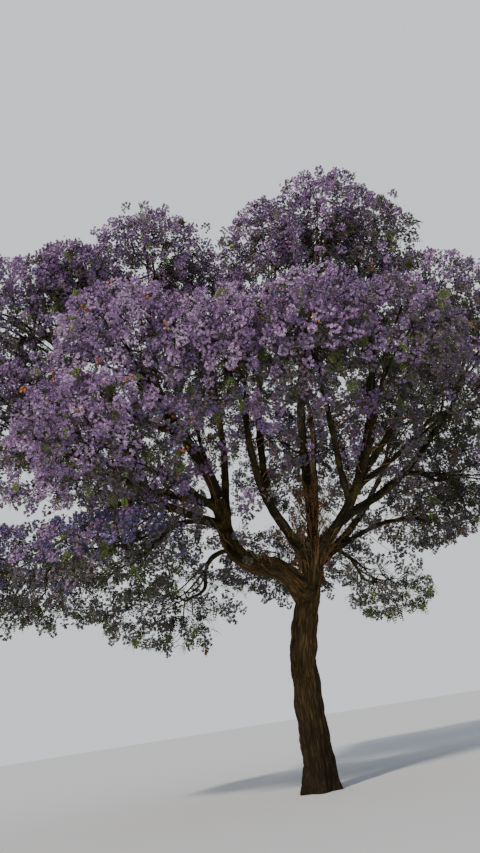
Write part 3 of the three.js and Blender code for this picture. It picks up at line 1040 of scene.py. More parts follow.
class EffectGroups:
    """The effects that several finishes share, as node groups with named inputs and outputs."""

    PLATE_WANDER = (1.3, 1.3, 1.3)
    FISSURE_WIDTH = 0.24
    BARK_GRAIN = (0.009, 0.009, 0.035)
    PATCH_GRAIN = (0.03, 0.03, 0.06)
    PATCH_LEVEL = 0.78
    PATCH_EDGE = (-0.03, 0.06)
    DRIFT_EDGE = (0.32, 0.68)

    def __init__(self) -> None:
        """Builds the groups."""
        self.fissures = self.build_fissures()
        self.lichen = self.build_lichen()
        self.drift = self.build_drift()

    @staticmethod
    def start(
        name: str, inputs: dict[str, str], outputs: dict[str, str]
    ) -> tuple[bpy.types.NodeTree, NodeSheet]:
        """An empty group with its sockets.

        Args:
            name: The group's name.
            inputs: The names and kinds of its inputs.
            outputs: The names and kinds of its outputs.

        Returns:
            The group and a sheet to place its nodes on.
        """
        group = bpy.data.node_groups.new(name, "ShaderNodeTree")
        for in_out, sockets in (("INPUT", inputs), ("OUTPUT", outputs)):
            for socket, kind in sockets.items():
                group.interface.new_socket(socket, in_out=in_out, socket_type=f"NodeSocket{kind}")
        return group, NodeSheet(group)

    def build_fissures(self) -> bpy.types.NodeTree:
        """Long plates of bark with dark fissures between them.

        Returns:
            The group.
        """
        group, sheet = self.start(
            "bark_fissures", {"Place": "Vector", "Size": "Vector"}, {"Plate": "Float", "Height": "Float"}
        )
        given = sheet.add("NodeGroupInput", {}).outputs
        place = sheet.scaled(given["Place"], given["Size"])
        wander = sheet.add("ShaderNodeTexNoise", {"Vector": place, "Scale": 0.8, "Detail": 3.0})
        shift = sheet.add(
            "ShaderNodeVectorMath", {0: wander.outputs["Color"], 1: self.PLATE_WANDER}, operation="MULTIPLY"
        )
        moved = sheet.add("ShaderNodeVectorMath", {0: place, 1: shift.outputs["Vector"]})
        feeds = {"Vector": moved.outputs["Vector"], "Scale": 1.0}
        cells = sheet.add("ShaderNodeTexVoronoi", feeds, feature="DISTANCE_TO_EDGE")
        plate = sheet.ramp(cells.outputs["Distance"], 0.0, self.FISSURE_WIDTH)
        grain = sheet.noise(sheet.scaled(given["Place"], self.BARK_GRAIN), 4.0)
        height = sheet.maths("ADD", sheet.maths("MULTIPLY", plate, 0.7), sheet.maths("MULTIPLY", grain, 0.5))
        sheet.add("NodeGroupOutput", {"Plate": plate, "Height": height})
        return group

    def build_lichen(self) -> bpy.types.NodeTree:
        """Ragged patches of lichen and moss.

        Returns:
            The group.
        """
        group, sheet = self.start(
            "lichen_patches", {"Place": "Vector", "Size": "Float", "Amount": "Float"}, {"Patch": "Float"}
        )
        given = sheet.add("NodeGroupInput", {}).outputs
        size = sheet.add("ShaderNodeCombineXYZ", {0: given["Size"], 1: given["Size"], 2: given["Size"]})
        wide = sheet.noise(sheet.scaled(given["Place"], size.outputs["Vector"]), 3.0)
        fine = sheet.noise(sheet.scaled(given["Place"], self.PATCH_GRAIN), 3.0)
        both = sheet.maths("ADD", sheet.maths("MULTIPLY", wide, 0.7), sheet.maths("MULTIPLY", fine, 0.3))
        bare = sheet.maths("SUBTRACT", self.PATCH_LEVEL, sheet.maths("MULTIPLY", given["Amount"], 0.5))
        patch = sheet.ramp(sheet.maths("SUBTRACT", both, bare), *self.PATCH_EDGE)
        sheet.add("NodeGroupOutput", {"Patch": patch})
        return group

    def build_drift(self) -> bpy.types.NodeTree:
        """A colour that drifts between two over the surface.

        Returns:
            The group.
        """
        group, sheet = self.start(
            "colour_drift",
            {"Place": "Vector", "Size": "Vector", "First": "Color", "Second": "Color"},
            {"Colour": "Color"},
        )
        given = sheet.add("NodeGroupInput", {}).outputs
        wide = sheet.noise(sheet.scaled(given["Place"], given["Size"]), 4.0, 0.65)
        drift = sheet.ramp(wide, *self.DRIFT_EDGE)
        sheet.add("NodeGroupOutput", {"Colour": sheet.mixed(drift, given["First"], given["Second"])})
        return group


def principled(name: str, roughness: float, specular: float) -> tuple[bpy.types.Material, bpy.types.Node]:
    """A new material and its shader.

    Args:
        name: The material's name.
        roughness: How rough it is, where nothing feeds that.
        specular: Its specular level.

    Returns:
        The material and the shader.
    """
    material = bpy.data.materials.new(name)
    material.use_nodes = True
    shader = material.node_tree.nodes["Principled BSDF"]
    shader.inputs["Roughness"].default_value = roughness
    shader.inputs["Specular IOR Level"].default_value = specular
    return material, shader


@dataclass(frozen=True)
class PlainFinish:
    """A plain soft finish, dealt out among many small forms.

    Attributes:
        name: The material's name.
        colour: Its base colour.
        roughness: Its roughness.
        sheen: The strength of its soft edge light.
    """

    SPECULAR = 0.3

    name: str
    colour: Colour
    roughness: float = 0.6
    sheen: float = 0.0

    def build(self) -> bpy.types.Material:
        """The finish as a material.

        Returns:
            The material.
        """
        material, shader = principled(self.name, self.roughness, self.SPECULAR)
        shader.inputs["Base Color"].default_value = (*self.colour, 1)
        shader.inputs["Sheen Weight"].default_value = self.sheen
        return material


@dataclass(frozen=True)
class TwigFinish:
    """Thin bark or dry husk whose colour drifts between two, with a fine grain.

    Attributes:
        name: The material's name.
        first: The one colour.
        second: The other colour.
        size: How far apart the changes of colour lie.
    """

    ROUGHNESS = 0.88
    SPECULAR = 0.2
    GRAIN = (0.006, 0.006, 0.006)
    BUMP = 0.4
    BUMP_DEPTH = 0.002

    name: str
    first: Colour
    second: Colour
    size: float = 0.25

    def build(self, effects: EffectGroups) -> bpy.types.Material:
        """The finish as a material.

        Args:
            effects: The shared effects.

        Returns:
            The material.
        """
        material, shader = principled(self.name, self.ROUGHNESS, self.SPECULAR)
        sheet = NodeSheet(material.node_tree)
        place = sheet.add("ShaderNodeTexCoord", {}).outputs["Object"]
        colour = sheet.drifting(effects.drift, place, (self.size,) * 3, self.first, self.second)
        grain = sheet.noise(sheet.scaled(place, self.GRAIN), 2.0)
        feeds = {"Height": grain, "Strength": self.BUMP, "Distance": self.BUMP_DEPTH}
        sheet.feed(shader.inputs["Base Color"], colour)
        sheet.feed(shader.inputs["Normal"], sheet.add("ShaderNodeBump", feeds).outputs["Normal"])
        return material


@dataclass(frozen=True)
class BarkFinish:
    """Rough fissured bark, with paler plates, dark fissures, lichen and painted shade at its foot.

    Attributes:
        name: The material's name.
        plate: The colour of the plates.
        worn: Their colour where they are worn or lit.
        crack: The colour in the fissures.
        lichen: The colour of the lichen.
        cover: How much of the bark the lichen covers.
        size: The width, depth and length of a plate.
        foot: How far up from the ground painted shade darkens the bark, most at the ground.
        stain: What its colour is multiplied by where it is stained.
    """

    DRIFT_SIZE = (0.08, 0.08, 0.9)
    STAIN_SIZE = (0.5, 0.5, 0.8)
    STAIN_SHARE = 0.8
    CLEAN = (1, 1, 1)
    PATCH_SIZE = 0.45
    PATCH_SHARE = 0.75
    CRACK_LIGHT = 0.4
    FOOT_SHADE_SHARE = 0.8
    BUMP = 0.9
    BUMP_DEPTH = 0.012
    ROUGHNESS = (0.8, 0.95)
    SPECULAR = 0.12

    name: str
    plate: Colour
    worn: Colour
    crack: Colour
    lichen: Colour
    cover: float
    size: Place
    foot: float = 0.0
    stain: Colour = (0.2, 0.24, 0.17)

    def build(self, effects: EffectGroups) -> bpy.types.Material:
        """The finish as a material.

        Args:
            effects: The shared effects.

        Returns:
            The material.
        """
        material, shader = principled(self.name, self.ROUGHNESS[0], self.SPECULAR)
        sheet = NodeSheet(material.node_tree)
        straight = sheet.add("ShaderNodeAttribute", {}, attribute_name=BarkSkin.PLACE).outputs["Vector"]
        place = sheet.add("ShaderNodeTexCoord", {}).outputs["Object"]
        drift = sheet.drifting(effects.drift, straight, self.DRIFT_SIZE, self.plate, self.worn)
        stains = sheet.drifting(effects.drift, place, self.STAIN_SIZE, self.stain, self.CLEAN)
        fissures = sheet.effect(effects.fissures, {"Place": straight, "Size": self.size})
        feeds = {"Place": place, "Size": self.PATCH_SIZE, "Amount": self.cover}
        patch = sheet.effect(effects.lichen, feeds)["Patch"]
        worn = sheet.mixed(self.STAIN_SHARE, drift, stains, blend_type="MULTIPLY")
        plate = sheet.mixed(sheet.maths("MULTIPLY", patch, self.PATCH_SHARE), worn, (*self.lichen, 1))
        colour = sheet.mixed(sheet.between(fissures["Plate"], self.CRACK_LIGHT, 1.0), (*self.crack, 1), plate)
        # Painted shade: the bark darkens towards the ground, up to the foot's height.
        if self.foot:
            height = sheet.add("ShaderNodeSeparateXYZ", {0: place}).outputs["Z"]
            foot_shade = sheet.maths("MULTIPLY", sheet.ramp(height, self.foot, 0.0), self.FOOT_SHADE_SHARE)
            colour = sheet.mixed(foot_shade, colour, (*self.crack, 1))
        feeds = {"Height": fissures["Height"], "Strength": self.BUMP, "Distance": self.BUMP_DEPTH}
        sheet.feed(shader.inputs["Base Color"], colour)
        sheet.feed(shader.inputs["Roughness"], sheet.between(patch, *self.ROUGHNESS))
        sheet.feed(shader.inputs["Normal"], sheet.add("ShaderNodeBump", feeds).outputs["Normal"])
        return material


class Tint(Enum):
    """The tints of the flowers, from the sunlit side of the crown to its shaded undersides."""

    PALE = PlainFinish("flowers_pale_mauve", linear(200, 172, 204), sheen=0.2)
    LILAC = PlainFinish("flowers_lilac", linear(178, 145, 187), sheen=0.2)
    BRIGHT = PlainFinish("flowers_bright_violet", linear(156, 122, 166), sheen=0.2)
    VIOLET = PlainFinish("flowers_violet", linear(132, 105, 143), sheen=0.2)
    BLUE = PlainFinish("flowers_blue_violet", linear(106, 93, 148), sheen=0.2)
    MAUVE = PlainFinish("flowers_dull_mauve", linear(124, 109, 117), sheen=0.1)
    DUSK = PlainFinish("flowers_dusky_mauve", linear(106, 98, 99), sheen=0.1)
    SHADE = PlainFinish("flowers_shaded_grey", linear(86, 84, 78), sheen=0.1)


class Green(Enum):
    """The tints of the leaves. The grey-green also serves as painted shade on leafy twigs with little sun."""

    FRESH = PlainFinish("leaves_fresh_green", linear(112, 136, 50), 0.5)
    DULL = PlainFinish("leaves_dull_green", linear(78, 90, 42), 0.55)
    DARK = PlainFinish("leaves_grey_green", linear(54, 60, 36), 0.6)


@dataclass(frozen=True)
class BarkRelief:
    """The relief of one limb's bark.

    Attributes:
        around: How wide a plate of bark is.
        along: How long it is.
        depth: How deep the fissures are.
        lump: How far the limb swells and sinks.
        grain: The size of a face of the mesh.
        knots: How many old branch scars there are.
    """

    around: float
    along: float
    depth: float
    lump: float
    grain: float
    knots: int = 0


class BarkSkin:
    """The bark of a limb as a closed mesh with relief."""

    PLACE = "straightened_place"
    COLLAR = 0.32
    COLLAR_LENGTH = 1.5
    FINAL_THINNING = 0.35
    LUMP_SIZE = 0.38
    FEWEST_AROUND = 12
    FEWEST_ALONG = 8
    ALONG_SHARE = 1.9
    KNOT_WIDTHS = (0.05, 0.1)
    KNOT_HEIGHT = 0.4
    KNOT_RANGE = (0.08, 0.95)
    KNOT_STRETCH = 1.3
    DIMPLE = 0.7
    DIMPLE_SHARE = 2.2
    WANDER = 0.8
    WANDER_SCALE = 0.9
    BEND_SCALE = (9, 3)
    BEND = 0.7
    PLATE_SLOPE = 2.4
    PLATE_LEVEL = 0.6
    LUMP_SHIFT = 7
    GRIT_SCALE = (60, 22)
    GRIT = 0.3
    WELD = 1e-6

    def __init__(self, limb: Limb, relief: BarkRelief, line: Line, parent_girth: float, seed: int) -> None:
        """Notes the limb and its relief.

        Args:
            limb: The limb.
            relief: The sizes of its bark.
            line: Its middle line, which may carry on past its tip.
            parent_girth: The radius of the limb that it grows from, or 0.
            seed: The seed of its knots.
        """
        self.limb, self.relief, self.line = limb, relief, line
        self.parent_girth = parent_girth
        self.random = np.random.default_rng(seed)

    def girth(self, run: Array, height: Array, angle: Array) -> Array:
        """The radius, with the swelling where the limb leaves its parent.

        Args:
            run: The distance along the limb.
            height: The height above the ground.
            angle: The angle around the limb.

        Returns:
            The radius.
        """
        own = self.limb.line.length
        radius = self.limb.radius(np.clip(run / own, 0, 1), height, angle)
        past = np.clip((run - own) / max(self.line.length - own, Line.STEP), 0, 1)
        radius = radius * (1 - self.FINAL_THINNING * past)
        if self.parent_girth:
            fade = np.exp(-((run / (self.COLLAR_LENGTH * self.parent_girth)) ** 2))
            radius = radius * (1 + self.COLLAR * fade)
        return radius

    def heights(self, angle: Array, run: Array, radius: Array) -> Array:
        """How far the bark stands out of the limb's plain round.

        Args:
            angle: The angles around the limb.
            run: The distances along it.
            radius: The radii there.

        Returns:
            The heights.
        """
        relief = self.relief
        sides, tops = np.cos(angle) * radius, np.sin(angle) * radius
        bend_across, bend_along = self.BEND_SCALE
        grit_across, grit_along = self.GRIT_SCALE
        out = np.empty(len(run))
        for i, (x, y, z) in enumerate(zip(sides, tops, run)):
            bend = noise.noise((x * bend_across, y * bend_across, z * bend_along)) * self.BEND
            cell = (x / relief.around + bend, y / relief.around + bend, z / relief.along)
            near, far = noise.voronoi(cell)[0][:2]
            plate = min(1.0, (far - near) * self.PLATE_SLOPE)
            lump = noise.noise((x / self.LUMP_SIZE + self.LUMP_SHIFT, y / self.LUMP_SIZE, z / self.LUMP_SIZE))
            grit = noise.noise((x * grit_across, y * grit_across, z * grit_along))
            out[i] = (plate - self.PLATE_LEVEL) * relief.depth + lump * relief.lump
            out[i] += grit * relief.depth * self.GRIT
        return out + self.knots(sides, tops, run, radius)

    def knots(self, sides: Array, tops: Array, run: Array, radius: Array) -> Array:
        """Old branch scars: low mounds with a dimple in the middle.

        Args:
            sides: The places across the straightened limb.
            tops: The places across it, the other way.
            run: The distances along it.
            radius: The radii there.

        Returns:
            The heights that the scars add.
        """
        out = np.zeros(len(run))
        for _ in range(self.relief.knots):
            angle = self.random.uniform(0, 2 * math.pi)
            centre = self.random.uniform(*self.KNOT_RANGE) * self.limb.line.length
            width = self.random.uniform(*self.KNOT_WIDTHS)
            x, y = np.cos(angle) * radius, np.sin(angle) * radius
            along = (run - centre) / self.KNOT_STRETCH
            away = np.sqrt((sides - x) ** 2 + (tops - y) ** 2 + along**2) / width
            dimple = self.DIMPLE * np.exp(-((away * self.DIMPLE_SHARE) ** 2))
            out += self.KNOT_HEIGHT * width * (np.exp(-(away**2)) - dimple)
        return out

    def wander(self, places: Array) -> Array:
        """How far the limb's middle strays from its plain line: not at its root, and little beside its girth.

        Args:
            places: The places on the plain line.

        Returns:
            The shift of each place.
        """
        if not self.parent_girth:
            return np.zeros_like(places)
        amount = self.WANDER * self.limb.root * np.linspace(0, 1, len(places)) ** 0.5
        strays = [noise.noise_vector(place * self.WANDER_SCALE) for place in places]
        return np.array(strays) * amount[:, None]

    def build(self, mesh: bmesh.types.BMesh) -> None:
        """Adds the limb's bark to a mesh, as a grid wrapped round its line and closed at both ends.

        Args:
            mesh: The mesh that it is added to.
        """
        layers = mesh.verts.layers.float_vector
        layer = layers.get(self.PLACE) or layers.new(self.PLACE)
        widest = self.limb.root + self.limb.flare
        around = max(self.FEWEST_AROUND, round(2 * math.pi * widest / self.relief.grain))
        along = max(self.FEWEST_ALONG, round(self.line.length / (self.relief.grain * self.ALONG_SHARE)))
        fresh = bmesh.ops.create_grid(mesh, x_segments=around, y_segments=along, size=0.5)["verts"]
        grid = np.array([vertex.co for vertex in fresh]) + 0.5
        places, first, second = self.line.frames(along)
        places = places + self.wander(places)
        row = np.rint(grid[:, 1] * along).astype(int)
        angle = np.rint(grid[:, 0] * around) % around * 2 * math.pi / around
        run = row / along * self.line.length
        radius = self.girth(run, places[row, 2], angle)
        straight = np.stack([np.cos(angle) * radius, np.sin(angle) * radius, run], axis=1)
        radius = radius + self.heights(angle, run, radius)
        side = np.cos(angle)[:, None] * first[row] + np.sin(angle)[:, None] * second[row]
        spots = places[row] + side * radius[:, None]
        if self.limb.flare:
            spots[row == 0, 2] = 0
            spots[:, 2] = np.maximum(spots[:, 2], 0)
        for vertex, spot, flat in zip(fresh, spots, straight):
            vertex.co = spot
            vertex[layer] = flat
        self.close(mesh, list(fresh))

    @staticmethod
    def close(mesh: bmesh.types.BMesh, fresh: list[bmesh.types.BMVert]) -> None:
        """Joins the grid's two long edges and fills both ends.

        Args:
            mesh: The mesh that the grid is part of.
            fresh: The grid's vertices.
        """
        bmesh.ops.remove_doubles(mesh, verts=fresh, dist=BarkSkin.WELD)
        rims = [edge for edge in mesh.edges if edge.is_boundary]
        caps = bmesh.ops.holes_fill(mesh, edges=rims, sides=0)["faces"]
        bmesh.ops.triangulate(mesh, faces=caps)
        bmesh.ops.recalc_face_normals(mesh, faces=mesh.faces)


def bark_piece(
    name: str, skins: Iterable[BarkSkin], finish: bpy.types.Material, nodes: tuple[str, ...] = ()
) -> None:
    """Builds the bark of some limbs as one piece.

    Args:
        name: The piece's name.
        skins: The limbs' bark.
        finish: Its material.
        nodes: The plain nodes that it stands for.
    """
    shell = bmesh.new()
    for skin in skins:
        skin.build(shell)
    mesh = bpy.data.meshes.new(name)
    shell.to_mesh(mesh)
    shell.free()
    mesh.materials.append(finish)
    mesh.shade_smooth()
    seat(linked(name, mesh), nodes)


@dataclass(frozen=True)
class LimbSet:
    """Limbs whose bark is one piece.

    Attributes:
        name: The piece's name.
        limbs: The limbs' names.
        relief: Their relief.
        finish: Their finish.
    """

    name: str
    limbs: tuple[str, ...]
    relief: BarkRelief
    finish: BarkFinish


def boughs_of(side: Callable[[MassRow], bool]) -> tuple[str, ...]:
    """The names of the boughs whose rows pass a test."""
    return tuple(f"bough_{row.mass}" for row in CROWN if side(row))


BOUGH_BARK = BarkFinish(
    "bark_of_boughs", linear(43, 38, 28), linear(84, 75, 50), linear(15, 13, 10), linear(104, 95, 44),
    0.45, (0.028, 0.028, 0.13),
)
BOUGH_RELIEF = BarkRelief(0.035, 0.14, 0.007, 0.02, 0.032)
SIDE_BARK = BarkFinish(
    "bark_of_side_limbs", linear(50, 43, 32), linear(84, 72, 50), linear(24, 20, 15), linear(100, 88, 46),
    0.5, (0.024, 0.024, 0.1),
)
SIDE_RELIEF = BarkRelief(0.03, 0.12, 0.004, 0.012, 0.04)
LIMB_SETS = (
    LimbSet(
        "bark_trunk", ("trunk",), BarkRelief(0.055, 0.34, 0.017, 0.05, 0.0135, knots=26),
        # The trunk's bark is darkened by painted shade for its lowest 3.6 m.
        BarkFinish("bark_of_trunk", linear(60, 50, 33), linear(120, 96, 58), linear(16, 13, 8),
                   linear(98, 88, 40), 0.35, (0.05, 0.05, 0.42), 3.6, stain=(0.35, 0.35, 0.3)),
    ),
    LimbSet(
        "bark_left_limb", ("left_limb",), BarkRelief(0.05, 0.3, 0.014, 0.045, 0.014, knots=9),
        BarkFinish("bark_of_left_limb", linear(46, 41, 29), linear(124, 98, 58), linear(14, 12, 9),
                   linear(112, 94, 40), 0.45, (0.045, 0.045, 0.36)),
    ),
    LimbSet("bark_left_boughs", boughs_of(lambda row: row.centre[0] < 0.5), BOUGH_RELIEF, BOUGH_BARK),
    LimbSet("bark_right_boughs", boughs_of(lambda row: row.centre[0] >= 0.5), BOUGH_RELIEF, BOUGH_BARK),
)


class SideLimbs:
    """Slender limbs that part from a bough and rise to the branches of its mass."""

    EACH = 3
    PART_AT = (0.42, 0.6, 0.78)
    LEAD = 0.35
    ROOT_SHARE = 0.5
    TIP = 0.017
    LEAST_TAPER = 1.4
    STEPS = 6

    def __init__(self, masses: list[Mass]) -> None:
        """Lays out the side limbs.

        Args:
            masses: Every mass of the crown.
        """
        self.limbs: list[Limb] = []
        self.parent_girths: list[float] = []
        for mass in masses:
            for share, fork in zip(self.PART_AT, self.spread_forks(mass)):
                self.add(mass, share, fork)

    def spread_forks(self, mass: Mass) -> list[Fork]:
        """The branches of a mass that lie furthest from its hub and from one another.

        Args:
            mass: The mass.

        Returns:
            The branches' forks.
        """
        chosen = [mass.forks[0]]
        for _ in range(self.EACH):
            rest = [fork for fork in mass.branches if fork.load and fork not in chosen]
            if not rest:
                break
            near = [min(np.linalg.norm(fork.place - other.place) for other in chosen) for fork in rest]
            chosen.append(rest[int(np.argmax(near))])
        return chosen[1:]

    def add(self, mass: Mass, share: float, fork: Fork) -> None:
        """Lays out one side limb.

        Args:
            mass: Its mass.
            share: How far along the bough it starts.
            fork: The branch that it ends at.
        """
        bough = mass.bough
        start, heading = bough.line.at(share), bough.line.heading(share)
        far = np.linalg.norm(fork.place - start)
        lead = start + heading * far * self.LEAD
        arrival = fork.place - unit(fork.place - mass.hub) * far * self.LEAD
        line = Line.bezier(start, lead, arrival, fork.place)
        girth = float(bough.radius(np.array(share), 0.0, 0.0))
        root = max(self.TIP * self.LEAST_TAPER, girth * self.ROOT_SHARE)
        self.limbs.append(Limb(f"side_limb_{len(self.limbs)}", line, root, self.TIP, self.STEPS))
        self.parent_girths.append(girth)

    def build(self, finish: BarkFinish, relief: BarkRelief, effects: EffectGroups) -> None:
        """Builds the side limbs as one piece.

        Args:
            finish: Their bark.
            relief: Its relief.
            effects: The shared effects of the finishes.
        """
        rows = enumerate(zip(self.limbs, self.parent_girths))
        skins = [BarkSkin(limb, relief, limb.line, girth, seed) for seed, (limb, girth) in rows]
        bark_piece("bark_side_limbs", skins, finish.build(effects))


class LimbWork:
    """The trunk, the left limb and the boughs in their bark, with each bough's stem inside its mass."""

    def __init__(self, skeleton: Skeleton, masses: list[Mass], effects: EffectGroups) -> None:
        """Notes the limbs.

        Args:
            skeleton: The tree's limbs.
            masses: Every mass of the crown.
            effects: The shared effects of the finishes.
        """
        self.skeleton, self.effects = skeleton, effects
        self.lines = {name: limb.line for name, limb in skeleton.limbs.items()}
        self.parent_girths = dict.fromkeys(skeleton.limbs, 0.0)
        for mass in masses:
            row, name = mass.row, mass.bough.name
            self.lines[name] = mass.bough.line.joined(mass.stem())
            if row.share < 1:
                parent = skeleton.limbs[row.parent]
                self.parent_girths[name] = float(parent.radius(np.array(row.share), np.inf, 0.0))
        self.parent_girths["left_limb"] = skeleton.limbs["trunk"].tip

    def build(self) -> None:
        """Builds each set of limbs as one piece."""
        for limb_set in LIMB_SETS:
            skins = []
            for seed, name in enumerate(limb_set.limbs):
                limb, line, girth = self.skeleton.limbs[name], self.lines[name], self.parent_girths[name]
                skins.append(BarkSkin(limb, limb_set.relief, line, girth, seed))
            bark_piece(limb_set.name, skins, limb_set.finish.build(self.effects), limb_set.limbs)


class TwigWork:
    """The twigs that carry the panicles, from the hub of each mass to its outside."""

    TWIG = 0.0034
    GROWTH = 0.5
    SPREAD = 1.12
    TIP_SHARE = 0.45
    STOUT = 0.009
    SLIM = 0.0045
    FINISH = TwigFinish("bark_of_twigs", linear(50, 41, 31), linear(84, 70, 50))

    def __init__(self, masses: list[Mass]) -> None:
        """Sorts the twigs of the masses into stout ones, fine ones and the thinnest ends.

        Args:
            masses: Every mass of the crown.
        """
        self.nodes = tuple(f"blossom_{mass.row.mass}" for mass in masses)
        self.stout = TubeBundle(steps=3, sides=5, stray=0.09)
        self.fine = TubeBundle(steps=2, sides=3, stray=0.11)
        self.ends = TubeBundle(steps=1, sides=3, stray=0.0)
        for mass in masses:
            for fork in mass.forks:
                self.note(fork)

    def note(self, fork: Fork) -> None:
        """Notes the twig below a fork and the one through its panicle.

        Args:
            fork: The fork.
        """
        if fork.parent is None or not fork.load:
            return
        girth = self.TWIG * fork.load**self.GROWTH
        bundle = self.stout if girth > self.STOUT else self.fine if girth > self.SLIM else self.ends
        bundle.add(fork.parent.place, fork.place, girth * self.SPREAD, girth)
        if fork.spray:
            self.ends.add(fork.place, fork.spray.tip, self.TWIG, self.TWIG * self.TIP_SHARE)

    def build(self, effects: EffectGroups, random: np.random.Generator) -> None:
        """Builds each kind of twig as one piece.

        Args:
            effects: The shared effects of the finishes.
            random: The stream of random numbers.
        """
        finish = self.FINISH.build(effects)
        bundles = {"twigs_stout": self.stout, "twigs_fine": self.fine, "twig_ends": self.ends}
        for name, bundle in bundles.items():
            seat(mesh_piece(name, *bundle.arrays(random), finish), self.nodes)


@dataclass(frozen=True)
class ShootRow:
    """Thin young shoots that crowd on one stretch of a limb.

    Attributes:
        limb: The limb.
        low: The share of its length where the stretch starts.
        high: The share where it ends.
        count: How many shoots there are.
        length: Their greatest length.
    """

    limb: str
    low: float
    high: float
    count: int
    length: float


SHOOTS = (
    ShootRow("trunk", 0.8, 1.0, 70, 0.75),
    ShootRow("left_limb", 0.1, 0.95, 16, 0.6),
    ShootRow("bough_front_right", 0.02, 0.2, 20, 0.7),
    ShootRow("bough_top_middle", 0.01, 0.16, 80, 0.75),
    ShootRow("bough_front_left", 0.02, 0.22, 20, 0.7),
    ShootRow("bough_left_top", 0.02, 0.3, 12, 0.7),
    ShootRow("bough_back_top", 0.02, 0.2, 40, 0.75),
)


class ShootWork:
    """Bare young shoots round the forks and the boughs' feet, and side branches with panicles further out.

    Sizes are in metres. LEAN is how far a shoot points out from its limb, along it and upwards.
    """

    GIRTH = 0.009
    SUNK = 0.9
    LENGTHS = (0.4, 1)
    LEAN = (0.7, 0.5, 0.7)
    TIP_SHARE = 0.35
    SIDE_TWIGS = 5
    SIDE_LENGTH = 0.4
    SIDE_AT = (0.3, 0.95)
    SIDE_STRAY = 0.6
    SIDE_GIRTH = (0.45, 0.2)
    EVERY = 0.3
    BRANCH_RANGE = (0.42, 0.94)
    BRANCH_LEAN = 0.6
    BRANCH_STRAY = 0.2
    BRANCH_REACH = (0.35, 1.15)
    BRANCH_GIRTH = (0.011, 0.006)
    PANICLES_EACH = (2, 6)
    PANICLE_STRAY = 0.7
    PANICLE_DROOP = 0.2
    PANICLE_REACH = (0.02, 0.3)
    PANICLE_GIRTH = (0.005, 0.0035)
    END_GIRTH = (0.0034, 0.0015)
    PANICLE_SHARE = 0.85
    CLEAR_SHARE = 0.9
    LOWEST = 3.6
    FINISH = TwigFinish("bark_of_shoots", linear(116, 84, 56), linear(164, 124, 84))

    def __init__(self, skeleton: Skeleton, crown: Crown, random: np.random.Generator) -> None:
        """Grows the shoots.

        Args:
            skeleton: The tree's limbs.
            crown: The spaces of all the masses.
            random: The stream of random numbers.
        """
        self.skeleton, self.crown, self.random = skeleton, crown, random
        self.bundle = TubeBundle(steps=3, sides=3, stray=0.12)
        self.sprays: list[Spray] = []
        self.tips: list[tuple[Array, Array]] = []
        for row in SHOOTS:
            self.crowd(row)
        for name, limb in skeleton.limbs.items():
            if name != "trunk":
                self.side_branches(limb)

    def foot(self, limb: Limb, share: float) -> tuple[Array, Array, Array]:
        """A place on a limb's side.

        Args:
            limb: The limb.
            share: How far along it the place is.

        Returns:
            The place, the way out from it and the limb's own direction there.
        """
        heading = limb.line.heading(share)
        out = unit(np.cross(heading, self.random.normal(size=3)))
        centre = limb.line.at(share)
        girth = float(limb.radius(np.array(share), centre[2], 0.0))
        return centre + out * girth * self.SUNK, out, heading

    def crowd(self, row: ShootRow) -> None:
        """Grows one row's shoots: each points upwards and has a few side twigs.

        Args:
            row: The row.
        """
        limb = self.skeleton.limbs[row.limb]
        outward, along, upward = self.LEAN
        for share in self.random.uniform(row.low, row.high, row.count):
            start, out, heading = self.foot(limb, share)
            length = row.length * self.random.uniform(*self.LENGTHS)
            direction = unit(out * outward + heading * along + UP * upward)
            self.twig(start, direction, length, self.GIRTH, self.SIDE_TWIGS)

    def twig(self, start: Array, direction: Array, length: float, girth: float, sides: int) -> None:
        """Grows one twig with side twigs.

        Args:
            start: Its foot.
            direction: Its direction.
            length: Its length.
            girth: Its radius at the foot.
            sides: How many side twigs it has.
        """
        end = start + direction * length
        self.bundle.add(start, end, girth, girth * self.TIP_SHARE)
        self.tips.append((end, direction))
        thick, thin = self.SIDE_GIRTH
        for share in self.random.uniform(*self.SIDE_AT, sides):
            side = unit(direction + self.random.normal(0, self.SIDE_STRAY, 3))
            foot = start + direction * length * share
            tip = foot + side * self.SIDE_LENGTH * length
            self.bundle.add(foot, tip, girth * thick, girth * thin)
            self.tips.append((tip, side))

    def side_branches(self, limb: Limb) -> None:
        """Grows side branches with a few panicles each along a limb, where no mass is in the way.

        Args:
            limb: The limb.
        """
        for share in np.linspace(*self.BRANCH_RANGE, int(limb.line.length / self.EVERY)):
            start, out, heading = self.foot(limb, share)
            stray = self.random.normal(0, self.BRANCH_STRAY, 3)
            direction = unit(out + heading * self.BRANCH_LEAN + stray)
            end = start + direction * self.random.uniform(*self.BRANCH_REACH)
            if self.open_air(end):
                self.bundle.add(start, end, *self.BRANCH_GIRTH)
                self.hang_panicles(end, direction)

    def hang_panicles(self, end: Array, direction: Array) -> None:
        """Hangs a few panicles at the end of a side branch.

        Args:
            end: The branch's end.
            direction: Its direction.
        """
        for _ in range(self.random.integers(*self.PANICLES_EACH)):
            stray = self.random.normal(0, self.PANICLE_STRAY, 3)
            axis = unit(direction + stray - UP * self.PANICLE_DROOP)
            base = end + axis * self.random.uniform(*self.PANICLE_REACH)
            tip = base + axis * PANICLES.length
            if self.open_air(tip):
                self.bundle.add(end, base, *self.PANICLE_GIRTH)
                self.bundle.add(base, tip, *self.END_GIRTH)
                bloom = self.crown.bloom(tip, direction)
                self.sprays.append(Spray(base, tip, axis, 0.0, axis, self.PANICLE_SHARE, bloom))

    def open_air(self, place: Array) -> bool:
        """Whether a place is inside the crown's box, outside every mass and high enough.

        Args:
            place: The place.

        Returns:
            True where it is.
        """
        boxed = ((place > self.crown.low) & (place < self.crown.high)).all()
        clear = self.crown.shares(place).min() > self.CLEAR_SHARE
        return bool(boxed and clear and place[2] > self.LOWEST)

